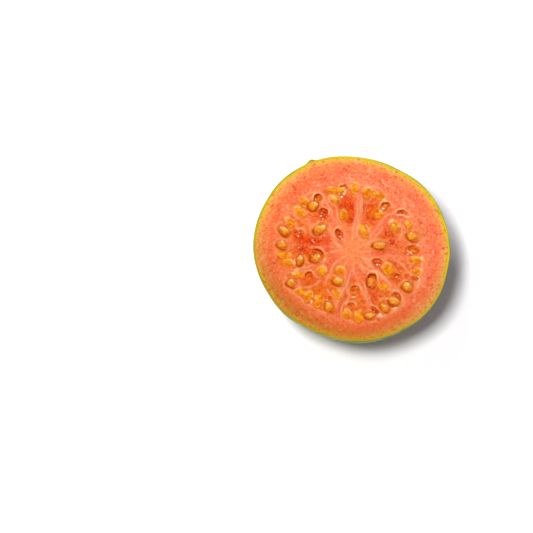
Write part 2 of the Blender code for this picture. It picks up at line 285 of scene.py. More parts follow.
# Pale septa run out from the core between lobes of wet pulp, which lie a little lower.
CORE_ACROSS = 0.0
CORE_UP = -0.5
LOBE_BEARINGS = [12, 43, 82, 119, 144, 172, 199, 215, 258, 288, 316, 351]
LOBE_REACHES = [21.4, 21.3, 22.6, 23.0, 24.0, 23.8, 22.6, 22.4, 23.2, 22.9, 22.8, 21.9]
LOBE_INNER = 3.4
LOBE_SUNK = 0.30
SEPTUM_WIDTH = 1.3
LOBE_CORNER = 1.6
# Bearings towards which painted shade and painted highlights fall on what stands on the face
SHADOW_SIDE = 235
SUNNY_SIDE = 75
# Fine pale fibres on the face, each a run of points in millimetres
FIBRES = [
    [(-14.6, 18.0), (-12.6, 18.7), (-11.0, 18.8), (-9.7, 18.1), (-8.9, 16.8), (-9.3, 15.2)],
    [(-18.3, 13.0), (-17.9, 11.4), (-16.6, 10.2), (-14.9, 10.2)],
    [(-21.4, 10.6), (-20.0, 10.4), (-18.9, 9.0), (-17.6, 7.3), (-15.8, 6.9), (-14.9, 5.4)],
    [(-14.6, 10.5), (-13.5, 8.5), (-13.3, 6.4), (-12.7, 4.9)],
    [(-7.8, 7.2), (-6.8, 5.5), (-6.3, 3.5), (-5.4, 1.9), (-4.2, 0.6), (-3.0, -0.2)],
    [(-6.1, 6.4), (-5.9, 4.4), (-5.3, 2.8), (-4.3, 1.4), (-3.1, 0.9)],
    [(-5.3, 7.0), (-4.2, 7.5), (-3.1, 6.7), (-2.3, 5.1), (-2.1, 3.6), (-2.6, 2.1)],
    [(-7.4, 17.4), (-7.2, 15.9), (-5.6, 14.6), (-4.8, 13.2), (-4.5, 10.4), (-3.4, 8.3), (-1.7, 6.2)],
    [(-8.3, 15.0), (-7.0, 13.6), (-6.2, 11.6), (-5.6, 9.6), (-4.4, 8.4)],
    [(1.9, 17.2), (1.5, 15.0), (1.3, 12.5), (1.0, 10.5), (0.4, 8.0), (0.2, 5.0), (0.1, 2.6)],
    [(2.6, 16.6), (2.6, 14.0), (2.3, 11.0), (1.9, 8.5), (1.5, 6.3), (1.5, 4.3), (2.2, 3.1)],
    [(3.3, 16.9), (3.1, 14.5), (3.0, 12.0), (2.6, 9.5), (2.1, 7.6)],
    [(2.2, 3.1), (3.3, 2.8), (4.7, 3.4), (5.9, 4.5), (7.2, 6.2), (8.5, 7.9), (9.6, 9.3)],
    [(4.6, 1.9), (6.2, 2.9), (7.3, 4.0), (8.6, 5.6), (9.6, 7.0)],
    [(9.0, 9.7), (10.0, 10.7), (11.8, 11.5), (13.2, 11.9), (14.2, 12.9), (15.6, 13.3),
     (16.9, 12.8), (17.9, 11.4), (19.4, 10.1)],
    [(15.0, 9.8), (15.3, 7.8), (15.6, 6.2), (15.3, 4.6), (14.7, 3.1)],
    [(16.3, 9.6), (16.0, 8.2), (16.6, 6.8), (17.8, 6.3)],
    [(-1.6, 21.9), (0.5, 22.1), (2.3, 21.4), (4.8, 21.0), (6.8, 20.6), (8.8, 19.8), (10.2, 18.2),
     (11.0, 16.6), (12.2, 15.0), (12.9, 13.7)],
    [(21.1, 5.9), (21.5, 4.4), (21.3, 2.8), (20.6, 1.9)],
    [(-2.4, -2.6), (-3.8, -3.1), (-5.0, -4.2), (-6.1, -5.7), (-6.9, -7.3), (-7.6, -8.9),
     (-8.3, -10.4), (-8.4, -11.8)],
    [(-8.3, -12.9), (-7.4, -14.2), (-6.3, -15.4), (-5.2, -16.4), (-4.4, -17.4)],
    [(-5.2, -6.3), (-4.2, -5.7), (-3.0, -6.0), (-2.3, -7.2), (-2.3, -9.0), (-2.7, -11.6),
     (-3.1, -13.8), (-4.0, -16.4)],
    [(-7.9, -3.1), (-8.9, -4.2)],
    [(-12.8, -7.0), (-11.8, -8.5), (-10.8, -9.3), (-9.7, -9.0)],
    [(-19.0, -7.1), (-17.4, -6.9), (-15.6, -7.2), (-14.0, -6.9), (-12.8, -7.0)],
    [(-16.0, -6.4), (-14.8, -6.2), (-13.2, -5.6), (-12.3, -5.1)],
    [(-18.3, -12.2), (-16.5, -12.4), (-14.8, -12.6), (-12.9, -12.2), (-11.4, -11.3), (-10.3, -10.2)],
    [(-19.6, -13.6), (-18.0, -14.8), (-16.2, -16.4), (-14.4, -17.9), (-12.2, -19.4), (-10.4, -20.3),
     (-9.0, -21.0)],
    [(-0.4, -6.6), (-0.9, -8.4), (-1.6, -11.0), (-1.9, -13.3), (-1.2, -15.2), (-1.8, -16.8),
     (-3.0, -18.2), (-3.6, -20.0), (-3.5, -21.8), (-2.4, -23.0), (-0.6, -23.7), (1.0, -24.3)],
    [(-2.3, -18.1), (-1.3, -17.2), (0.1, -17.3), (1.3, -18.3)],
    [(0.2, -6.8), (0.9, -9.2), (1.9, -11.5), (2.9, -13.2), (3.6, -14.8), (4.3, -16.5), (4.8, -18.2)],
    [(2.4, -4.9), (3.7, -6.2), (5.2, -7.0), (6.8, -7.5), (8.3, -8.3), (9.7, -9.7), (11.2, -11.2),
     (12.4, -12.5)],
    [(7.3, -6.7), (9.0, -8.2), (10.7, -9.9), (12.3, -11.4), (13.7, -12.9), (14.4, -14.2)],
    [(10.6, -12.9), (12.0, -13.3), (13.5, -14.0), (14.7, -15.4), (15.1, -17.0), (14.7, -18.7),
     (13.4, -19.9), (12.0, -20.7), (10.2, -21.7), (8.5, -22.6)],
    [(12.4, -2.9), (13.8, -3.8), (15.6, -5.2), (16.8, -6.6), (18.0, -8.0), (19.4, -8.8),
     (20.9, -8.6), (21.7, -7.2), (21.8, -4.8), (21.9, -2.9)],
    [(20.4, -9.2), (21.0, -10.6), (20.4, -12.2), (19.5, -13.3)],
    [(2.8, -1.0), (4.3, -0.9), (5.9, -0.8)], [(3.0, -2.9), (4.8, -3.2), (6.2, -3.0)],
    [(10.6, -2.1), (12.0, -2.4), (13.4, -2.3)], [(-3.2, 0.4), (-4.8, -0.6), (-6.8, -1.0)],
]
FIBRE_WIDTH = 0.27
FIBRE_HEIGHT = 0.15
# Places where the pulp is red wet jelly: across, up, half width, half height, strength
JELLY = [
    (-1.4, 13.4, 2.8, 4.4, 0.85), (-0.3, 11.8, 1.5, 3.4, 1.0), (5.0, 13.3, 2.2, 2.4, 0.95),
    (6.8, 11.2, 2.8, 2.6, 0.7), (3.7, 11.0, 1.1, 3.0, 0.5), (-16.8, 5.0, 2.3, 1.9, 0.95),
    (-12.8, 2.8, 4.4, 2.0, 0.85), (-9.2, 3.2, 3.0, 2.2, 0.6), (-14.8, -0.2, 3.4, 1.6, 0.8),
    (-4.0, 4.6, 1.5, 2.3, 0.85), (-4.2, 2.2, 1.5, 1.6, 0.55), (-13.2, -10.4, 2.8, 2.6, 0.6),
    (-9.3, 12.0, 1.9, 2.4, 0.85), (-10.5, -13.4, 4.6, 2.2, 0.45), (-6.2, -13.6, 2.0, 2.2, 0.6),
    (-7.0, -16.4, 1.5, 1.5, 0.6), (7.0, -14.6, 2.4, 3.0, 0.45), (11.6, 5.2, 1.8, 1.5, 0.8),
    (12.6, 2.2, 2.2, 1.4, 0.7), (14.0, -9.2, 1.9, 1.6, 0.75), (18.6, -0.4, 2.6, 1.7, 0.7),
    (0.7, -13.7, 1.7, 1.8, 0.5), (7.6, -4.8, 2.2, 1.8, 0.5), (8.7, -0.8, 2.8, 1.0, 0.5),
    (13.4, -6.0, 2.6, 2.6, 0.3), (15.0, 1.2, 3.0, 2.0, 0.25), (-8.2, -0.8, 3.0, 2.0, 0.3),
]
# Places where the pulp shows honey-coloured from the sacs below it, in the same five numbers
HONEY = [
    (-16.7, -14.2, 1.9, 1.8, 0.9), (-13.8, -10.2, 1.4, 2.4, 0.6), (-20.4, -3.6, 1.8, 2.0, 0.7),
    (-7.2, -15.8, 1.8, 1.6, 0.8), (0.7, -13.7, 1.6, 1.7, 0.8), (11.7, 5.4, 1.2, 1.0, 0.5),
    (5.2, 6.8, 1.2, 1.4, 0.5), (-17.0, 13.8, 2.2, 2.2, 0.6), (-4.2, 19.4, 2.4, 1.4, 0.8),
    (-3.9, -7.2, 1.5, 1.4, 0.7), (-14.0, -15.4, 2.6, 2.0, 0.6), (-10.8, -17.2, 2.4, 1.8, 0.6),
    (-17.0, -8.0, 2.6, 1.4, 0.6), (-12.4, -2.6, 3.0, 1.8, 0.6), (9.6, -12.6, 2.4, 1.6, 0.5),
    (11.2, -6.8, 2.2, 1.6, 0.6), (6.4, 18.2, 3.4, 1.8, 0.6), (0.8, 20.0, 1.6, 1.8, 0.7),
    (-19.6, 8.6, 2.0, 1.8, 0.6), (-1.6, 11.6, 1.6, 2.6, 0.45), (6.8, 13.6, 2.4, 1.6, 0.5),
    (19.4, 5.0, 2.6, 3.2, 0.45), (20.0, -3.8, 2.0, 1.4, 0.6), (17.6, 8.2, 1.4, 1.4, 0.5),
    (12.4, -17.0, 3.0, 2.2, 0.6), (0.0, -21.6, 3.6, 1.4, 0.5), (-9.6, 6.0, 2.6, 1.8, 0.4),
    (-12.6, -13.6, 4.6, 2.6, 0.65), (-6.8, -13.4, 2.4, 3.4, 0.7), (-20.6, -3.4, 2.4, 2.6, 0.8),
    (-11.0, -3.0, 3.2, 2.6, 0.5), (8.2, 3.6, 2.2, 1.2, 0.4), (13.6, -8.4, 1.6, 1.6, 0.6),
    (-5.6, 18.6, 3.0, 2.6, 0.6), (-3.0, 10.4, 1.6, 2.4, 0.8), (7.0, 12.4, 3.0, 2.0, 0.7),
]
# Scraps of pale membrane and painted highlights of wet glints: across, up, half width, half height, turn
# in degrees
SCRAPS_AND_GLINTS = [
    (10.0, 16.2, 0.7, 0.7, 0), (15.4, 11.3, 1.4, 0.35, 0), (17.4, 10.5, 0.9, 0.3, -10),
    (12.2, 9.2, 0.9, 0.4, 20), (8.3, -21.8, 0.8, 0.6, 10), (13.0, -19.5, 1.0, 0.4, 10),
    (-18.2, -4.4, 0.5, 0.8, 10), (-13.0, -17.2, 0.4, 0.7, 0), (4.8, 20.3, 1.1, 0.35, 0),
    (10.6, -16.2, 0.5, 0.4, 0), (0.2, -15.8, 0.8, 0.22, 0), (-12.3, 2.5, 0.9, 0.16, -48),
    (9.3, 13.1, 0.9, 0.45, 35), (21.6, -3.0, 0.4, 0.7, 0), (18.0, -1.0, 1.2, 0.3, -35),
    (-18.4, -8.0, 0.7, 0.4, -20), (-5.9, 17.3, 0.8, 0.4, -40), (-2.4, 18.6, 0.5, 0.9, -30),
]
FACE_CELLS = 300
FACE_LOWER_RINGS = 5
# What the flesh leaves free inside the skin, and how its edge drops towards the skin
SKIN_GAP = 0.25
BASIN_GAP = 1.0
FACE_DROP = 0.02
RIM_DROP = 0.10
RIM_DROP_WIDTH = 0.25
# Heights and depths of the finer things on the face
FURROW_DEPTH = 0.05
HAIR_HEIGHT = 0.05
HAIR_FURROW_DEPTH = 0.04
JELLY_SUNK = 0.28
SCRAP_HEIGHT = 0.12
SAC_HEIGHT = 0.20


def lobe_depth(x, y):
    """How far inside a lobe a point lies, in mm, and its distance from the core."""
    radius = np.hypot(x - CORE_ACROSS, y - CORE_UP)
    bearing = np.arctan2(y - CORE_UP, x - CORE_ACROSS)
    inside = np.full_like(x, -99.0)
    for number, reach in enumerate(LOBE_REACHES):
        start = math.radians(LOBE_BEARINGS[number])
        end = math.radians(LOBE_BEARINGS[(number + 1) % len(LOBE_BEARINGS)])
        walls = [
            radius * np.sin(wrap(bearing - start)) - 0.5 * SEPTUM_WIDTH,
            radius * np.sin(wrap(end - bearing)) - 0.5 * SEPTUM_WIDTH,
            reach - radius,
            radius - LOBE_INNER,
        ]
        crowd = sum(np.exp(-np.clip(wall, -60.0, 60.0) / LOBE_CORNER) for wall in walls)
        inside = np.maximum(inside, -LOBE_CORNER * np.log(crowd))
    return inside, radius


def smooth_run(run, steps=5):
    """A smooth curve through a run of points."""
    points = np.array([run[0], *run, run[-1]])
    curve = []
    for four in zip(points, points[1:], points[2:], points[3:]):
        curve.extend(between(*four, share) for share in np.arange(steps) / steps)
    return np.array([*curve, points[-1]])


def fibre_lines(x, y):
    """Strength of the pale fibres, strongest on their lines and fading at their ends."""
    strength = np.zeros_like(x)
    reach = 5.0 * FIBRE_WIDTH
    for run in FIBRES:
        curve = smooth_run(run)
        low, high = curve.min(axis=0) - reach, curve.max(axis=0) + reach
        near = (x > low[0]) & (x < high[0]) & (y > low[1]) & (y < high[1])
        px, py = x[near], y[near]
        best = np.zeros_like(px)
        for number, (start, end) in enumerate(zip(curve, curve[1:])):
            step = end - start
            share = ((px - start[0]) * step[0] + (py - start[1]) * step[1]) / (step @ step)
            share = np.clip(share, 0.0, 1.0)
            distance = np.hypot(px - start[0] - share * step[0], py - start[1] - share * step[1])
            along = (number + share) / (len(curve) - 1)
            fade = np.clip(np.minimum(along, 1.0 - along) * 8.0 + 0.3, 0.0, 1.0)
            best = np.maximum(best, fade * np.exp(-(distance / FIBRE_WIDTH) ** 2))
        strength[near] = np.maximum(strength[near], best)
    return strength


def hair_fibres(x, y, radius, lobe):
    """Hair-fine fibres round the core, twice as many further out, and the grooves between."""
    bent_turn = np.arctan2(y - CORE_UP, x - CORE_ACROSS) + 0.03 * soft_noise(x, y, 2.0, 31)
    outer = ease(radius, 7.0, 11.0)
    thread = (1.0 - outer) * round_noise(bent_turn, radius, 1, 5.0, 32)
    thread += outer * round_noise(bent_turn, radius, 2, 5.0, 33)
    thread *= ease(radius, 1.5, 4.0) * ease(radius, 22.5, 19.0) * (1.0 - 0.4 * lobe)
    return ease(thread, 0.25, 0.8), ease(thread, -0.25, -0.8)


def stone_cells(x, y, radius):
    """Streaks, red dashes and milky spots, which lie along rings in the firm flesh."""
    turn = np.arctan2(y - CORE_UP, x - CORE_ACROSS)
    streak = 0.6 * round_noise(turn, radius, 1, 1.3, 17) + 0.6 * round_noise(turn, radius, 2, 0.8, 18)
    dash = round_noise(turn, radius, 3, 0.6, 19) + 0.35 * round_noise(turn, radius, 1, 2.4, 20)
    milk = round_noise(turn, radius, 3, 0.7, 22) + 0.3 * soft_noise(x, y, 3.0, 23)
    return streak, ease(dash, 0.50, 0.95), ease(milk, 0.45, 1.0)


def cut_face(x, y):
    """Height above the plane of the cut, in mm, the share of each kind of tissue, and the painted shade
    and painted highlights on them.
    """
    bent_x = x + 0.30 * soft_noise(x, y, 2.6, 1) + 0.12 * soft_noise(x, y, 0.9, 2)
    bent_y = y + 0.30 * soft_noise(x, y, 2.6, 3) + 0.12 * soft_noise(x, y, 0.9, 4)
    torn_x = x + 0.16 * soft_noise(x, y, 0.9, 5) + 0.06 * soft_noise(x, y, 0.45, 25)
    torn_y = y + 0.16 * soft_noise(x, y, 0.9, 6) + 0.06 * soft_noise(x, y, 0.45, 26)
    inside, radius = lobe_depth(bent_x, bent_y)
    lobe = ease(inside, -0.5, 1.1)
    height = -LOBE_SUNK * lobe

    line_x = x + 0.10 * soft_noise(x, y, 1.3, 7)
    line_y = y + 0.10 * soft_noise(x, y, 1.3, 8)
    thick = np.clip(0.65 + 0.5 * soft_noise(x, y, 1.9, 9), 0.2, 1.0)
    fibre = thick * fibre_lines(line_x, line_y)
    # Painted shade: a darker line runs beside each fibre and in the grooves between hair fibres, over the
    # real groove.
    shaded_furrow = thick * fibre_lines(line_x - 0.16, line_y + 0.28) * (1.0 - fibre)
    height += FIBRE_HEIGHT * fibre - FURROW_DEPTH * shaded_furrow
    height += lobe * (0.05 * soft_noise(x, y, 1.2, 10) + 0.02 * soft_noise(x, y, 0.5, 11))

    hair, groove = hair_fibres(x, y, radius, lobe)
    shaded_furrow = np.maximum(shaded_furrow, 0.6 * groove)
    height += HAIR_HEIGHT * hair - HAIR_FURROW_DEPTH * groove

    firm = (1.0 - lobe) * ease(radius, 3.0, 8.0)
    streak, dash, milk = stone_cells(x, y, radius)
    height += firm * (0.03 * soft_noise(x, y, 5.0, 12) + 0.025 * soft_noise(x, y, 0.6, 13))
    height += firm * (0.02 * milk - 0.05 * dash)

    jelly, honey, scrap_and_glint, gold, halo_and_highlight, amber_shade, shade, hollow = (np.zeros_like(x) for _ in range(8))
    for spots, kind in ((JELLY, jelly), (HONEY, honey)):
        for across, up, half_width, half_height, strength in spots:
            spread = ((bent_x - across) / half_width) ** 2 + ((bent_y - up) / half_height) ** 2
            np.maximum(kind, strength * np.exp(-(spread ** 1.7)), out=kind)
    jelly *= 1.0 - 0.8 * fibre
    height -= JELLY_SUNK * jelly
    height += jelly * (0.10 * soft_noise(x, y, 0.9, 14) + 0.05 * soft_noise(x, y, 0.45, 15))

    for across, up, half_width, half_height, turned in SCRAPS_AND_GLINTS:
        share = in_pip(torn_x, torn_y, (across, up, 2.0 * half_width, 2.0 * half_height, turned))
        scrap_and_glint = np.maximum(scrap_and_glint, 1.0 - ease(share, 0.5, 1.3))
    height += SCRAP_HEIGHT * scrap_and_glint

    # Sacs that are cut flush, seeds that stand out, and open sockets, with painted shade and painted
    # highlights round them
    patchy = ease(soft_noise(x, y, 1.1, 27), -0.7, 0.5)
    sac_x, sac_y = bent_x + 0.14 * soft_noise(x, y, 0.7, 28), bent_y + 0.14 * soft_noise(x, y, 0.7, 29)
    for pip in FLUSH_SEEDS + HELD_SEEDS:
        share = in_pip(sac_x, sac_y, pip)
        top = towards(x, y, pip, SUNNY_SIDE)
        gold = np.maximum(gold, 1.0 - ease(share, 0.8, 1.45))
        # Painted shade on the side of each sac away from SUNNY_SIDE, and a painted highlight in pale
        # cream on the side towards it.
        amber_shade = np.maximum(amber_shade, 0.8 * (1.0 - ease(share, 0.4, 1.1)) * ease(top, 0.4, -0.8))
        halo_and_highlight = np.maximum(halo_and_highlight, bump_at(share, 1.15, 0.34) * patchy * (0.1 + 0.9 * ease(top, -0.2, 0.8)))
        amber_shade = np.maximum(amber_shade, 0.8 * bump_at(share, 1.15, 0.22) * ease(top, 0.1, -0.8))
        height += SAC_HEIGHT * lobe * (1.0 - ease(share, 0.6, 1.3))
    for pip in PROUD_SEEDS + LOW_SEEDS:
        share = in_pip(bent_x, bent_y, pip)
        # Painted shadow on each seed's shadow side, and a darker moat of painted shade round its foot.
        dark_side = ease(towards(x, y, pip, SHADOW_SIDE), -0.2, 0.9)
        shade = np.maximum(shade, 0.9 * bump_at(share, 1.08, 0.14) * dark_side)
        amber_shade = np.maximum(amber_shade, bump_at(share, 1.15, 0.4) * (0.45 + 0.55 * dark_side))
        halo_and_highlight = np.maximum(halo_and_highlight, 0.35 * bump_at(share, 1.6, 0.25) * patchy)
        height += 0.06 * bump_at(share, 1.5, 0.25) - 0.10 * bump_at(share, 1.1, 0.14)
    torn = ease(soft_noise(x, y, 0.6, 30), -0.1, 0.8)
    # Painted shade: the wall on the deepest side darkens to a dark arc, and the red lining is darker the
    # deeper the socket is. Pale torn flaps on the lower wall are partly membrane and partly painted
    # highlight; a pale lip follows the rim.
    for pip in SOCKETS:
        share, depth = in_pip(torn_x, torn_y, pip), pip[6]
        facing = towards(torn_x, torn_y, pip, pip[5])
        dip = np.sqrt(np.clip(1.0 - share ** 2, 0.0, 1.0))
        down = -SOCKET_DEPTH * depth * dip * (0.3 + 0.7 * ease(facing, -0.6, 0.7))
        height = np.where(dip > 0.0, np.minimum(height, down), height)
        hollow = np.maximum(hollow, ease(share, 1.15, 0.75) * (0.3 + 0.7 * depth))
        shade = np.maximum(shade, bump_at(share, 0.90, 0.16) * ease(facing, 0.2, 0.9) * depth)
        flap = 0.8 * depth ** 3 * torn * bump_at(share, 0.6, 0.3) * ease(facing, 0.1, -0.5)
        scrap_and_glint = np.maximum(scrap_and_glint, flap)
        lip = depth ** 3 * patchy * bump_at(share, 1.28, 0.16) * ease(facing, -0.6, 0.4)
        halo_and_highlight = np.maximum(halo_and_highlight, lip)
        height += 0.05 * depth * bump_at(share, 1.25, 0.16)
    return {
        "height": height, "lobe": lobe, "fibre": np.clip(fibre, 0.0, 1.0), "shaded_furrow": shaded_furrow,
        "hair": hair, "jelly": np.clip(1.25 * jelly, 0.0, 1.0), "honey": honey * (1.0 - 0.6 * fibre),
        "gold": gold, "amber_shade": amber_shade, "halo_and_highlight": halo_and_highlight * (1.0 - hollow) * (1.0 - 0.8 * jelly),
        "scrap_and_glint": scrap_and_glint, "hollow": hollow, "shade": shade, "from_core": radius, "streak": streak,
        "dash": dash * firm, "milk": milk * firm,
    }


def face_grid():
    """A square grid bent to the disc, so that its cells are alike from core to edge."""
    steps = np.linspace(-1.0, 1.0, FACE_CELLS + 1)
    a, b = np.meshgrid(steps, steps, indexing="ij")
    wide = np.abs(a) > np.abs(b)
    longer = np.where(wide, a, b)
    ratio = np.where(wide, b, a) / np.where(longer == 0.0, 1.0, longer)
    turn = np.where(wide, 0.25 * math.pi * ratio, 0.5 * math.pi - 0.25 * math.pi * ratio)
    return longer * np.cos(turn), longer * np.sin(turn)


def band_faces(upper, lower):
    """Faces between two closed rings, each given as the numbers of its points."""
    return list(zip(upper, lower, lower[1:] + lower[:1], upper[1:] + upper[:1]))


def make_flesh():
    """The cut face with its relief, closed below by a plain skin-side shell."""
    across, up = face_grid()
    bearing = np.arctan2(up, across)
    share = np.hypot(across, up)
    rim = outside_ring(bearing.ravel(), ROUND_START)[:, :2]
    edge = np.hypot(rim[:, 0], rim[:, 1]).reshape(bearing.shape) - SKIN_THICKNESS
    x, y = share * edge * np.cos(bearing), share * edge * np.sin(bearing)
    face = cut_face(x, y)
    from_edge = edge * (1.0 - share)
    drop = FACE_DROP + RIM_DROP * np.exp(-from_edge / RIM_DROP_WIDTH)
    points = np.stack([x, y, CUT_HEIGHT + face.pop("height") - drop], axis=-1).reshape(-1, 3)

    count = FACE_CELLS + 1
    index = np.arange(count * count).reshape(count, count)
    corners = [index[:-1, :-1], index[1:, :-1], index[1:, 1:], index[:-1, 1:]]
    faces = np.stack([corner.ravel() for corner in corners], axis=-1).tolist()
    border = [*index[:-1, 0], *index[-1, :-1], *index[:0:-1, -1], *index[0, :0:-1]]

    border_bearing = bearing.ravel()[border]
    lower_rings = []
    for ring in range(1, FACE_LOWER_RINGS + 1):
        turn = ROUND_START + (ROUND_END - ROUND_START) * ring / FACE_LOWER_RINGS
        lower_rings.append(outside_ring(border_bearing, turn, SKIN_THICKNESS + SKIN_GAP))
    lower_rings.append(basin_ring(border_bearing, 0.9, SKIN_THICKNESS + BASIN_GAP))
    upper, total = border, len(points)
    for _ in lower_rings:
        lower = list(range(total, total + len(border)))
        total += len(border)
        faces.extend(band_faces(upper, lower))
        upper = lower
    faces.extend((start, total, end) for start, end in zip(upper, upper[1:] + upper[:1]))
    base = np.array([[0.0, 0.0, BASIN_DEPTH + SKIN_THICKNESS + BASIN_GAP]])
    piece = make_piece("flesh", np.concatenate([points, *lower_rings, base]), faces)

    hidden = total + 1 - len(points)
    sides = side_values(x, y)
    wide = 1.0 + 0.55 * sides["olive"] + 0.15 * sides["lime"] - 0.2 * ease(x, 20.0, 30.0)
    wide += 0.2 * ease(-x, 6.0, 24.0)
    face["near_skin"] = from_edge / wide + 0.18 * soft_noise(x, y, 1.1, 24)
    for name, values in {**face, **sides}.items():
        set_values(piece.data, name, np.append(values.ravel(), np.zeros(hidden)))
    return piece


# How much brighter than white the lamps make a level white surface
LAMP_STRENGTH = 1.5


def paint(red, green, blue):
    """A colour as it looks under the lamps (0 to 255), turned into the surface's own."""
    def linear(value):
        value /= 255.0
        value = value / 12.92 if value <= 0.04045 else ((value + 0.055) / 1.055) ** 2.4
        return value / LAMP_STRENGTH
    return (linear(red), linear(green), linear(blue), 1.0)


class Finish:
    """A material made of nodes, with short calls for the nodes that it uses."""

    def __init__(self, name):
        self.material = bpy.data.materials.new(name)
        self.material.use_nodes = True
        self.tree = self.material.node_tree
        self.shader = self.tree.nodes["Principled BSDF"]
        self.place = self.tree.nodes.new("ShaderNodeTexCoord").outputs["Object"]

    def plug(self, socket, value):
        """Fill a socket with a node's result, a number, or a colour as it looks (0 to 255)."""
        if isinstance(value, bpy.types.NodeSocket):
            self.tree.links.new(value, socket)
        elif isinstance(value, tuple) and len(value) == 3:
            socket.default_value = paint(*value)
        else:
            socket.default_value = value

    def node(self, kind, **inputs):
        """A new node with some of its sockets filled."""
        made = self.tree.nodes.new("ShaderNode" + kind)
        for name, value in inputs.items():
            self.plug(made.inputs[name.replace("_", " ")], value)
        return made

    def value(self, name):
        """The number that the mesh keeps under this name."""
        made = self.node("Attribute")
        made.attribute_name = name
        return made.outputs["Fac"]

    def noise(self, size, detail=3.0, roughness=0.5, warp=0.0):
        """Cloudy noise with lumps of one size in metres."""
        return self.node("TexNoise", Vector=self.place, Scale=1.0 / size, Detail=detail,
                         Roughness=roughness, Distortion=warp).outputs["Fac"]

    def cells(self, size):
        """Distance from the middle of round cells of one size in metres."""
        return self.node("TexVoronoi", Vector=self.place, Scale=1.0 / size).outputs["Distance"]

    def stretch(self, value, low, high, to_low=0.0, to_high=1.0):
        """Move a number from one range to another, smoothly and no further."""
        made = self.node("MapRange", Value=value, From_Min=low, From_Max=high,
                         To_Min=to_low, To_Max=to_high)
        made.interpolation_type = "SMOOTHSTEP"
        return made.outputs["Result"]

    def patches(self, low, high, *noise):
        """Cloudy noise stretched, so that it is 0 up to low and 1 from high."""
        return self.stretch(self.noise(*noise), low, high)

    def times(self, first, second, operation="MULTIPLY"):
        """Two numbers multiplied, or joined by another operation."""
        made = self.node("Math")
        made.operation = operation
        self.plug(made.inputs[0], first)
        self.plug(made.inputs[1], second)
        return made.outputs["Value"]

    def mix(self, share, under, over):
        """Lay one colour over another by a share."""
        made = self.node("Mix")
        made.data_type = "RGBA"
        self.plug(made.inputs["Factor"], share)
        self.plug(made.inputs[6], under)
        self.plug(made.inputs[7], over)
        return made.outputs[2]

    def layers(self, colour, *rows):
        """Lay more colours over one, each by a share (or its name) times at most so much."""
        for share, most, over in rows:
            if isinstance(share, str):
                share = self.value(share)
            colour = self.mix(share if most == 1.0 else self.times(share, most), colour, over)
        return colour

    def bump(self, height, distance, strength=1.0, **under):
        return self.node("Bump", Distance=distance, Strength=strength, Height=height,
                         **under).outputs["Normal"]

    def soft(self, weight, depth, spread=(1.0, 0.35, 0.15)):
        """Light that sinks in and comes out again, as in wet plant tissue."""
        self.shader.inputs["Subsurface Weight"].default_value = weight
        self.shader.inputs["Subsurface Scale"].default_value = depth
        self.shader.inputs["Subsurface Radius"].default_value = spread

    def wet(self, shine, coat, roughness):
        self.shader.inputs["Specular IOR Level"].default_value = shine
        self.shader.inputs["Coat Weight"].default_value = coat
        self.shader.inputs["Coat Roughness"].default_value = roughness

    def surface(self, colour, roughness, normal=None):
        """Fill in the surface itself and hand the material over."""
        self.plug(self.shader.inputs["Base Color"], colour)
        self.plug(self.shader.inputs["Roughness"], roughness)
        if normal is not None:
            self.plug(self.shader.inputs["Normal"], normal)
        return self.material


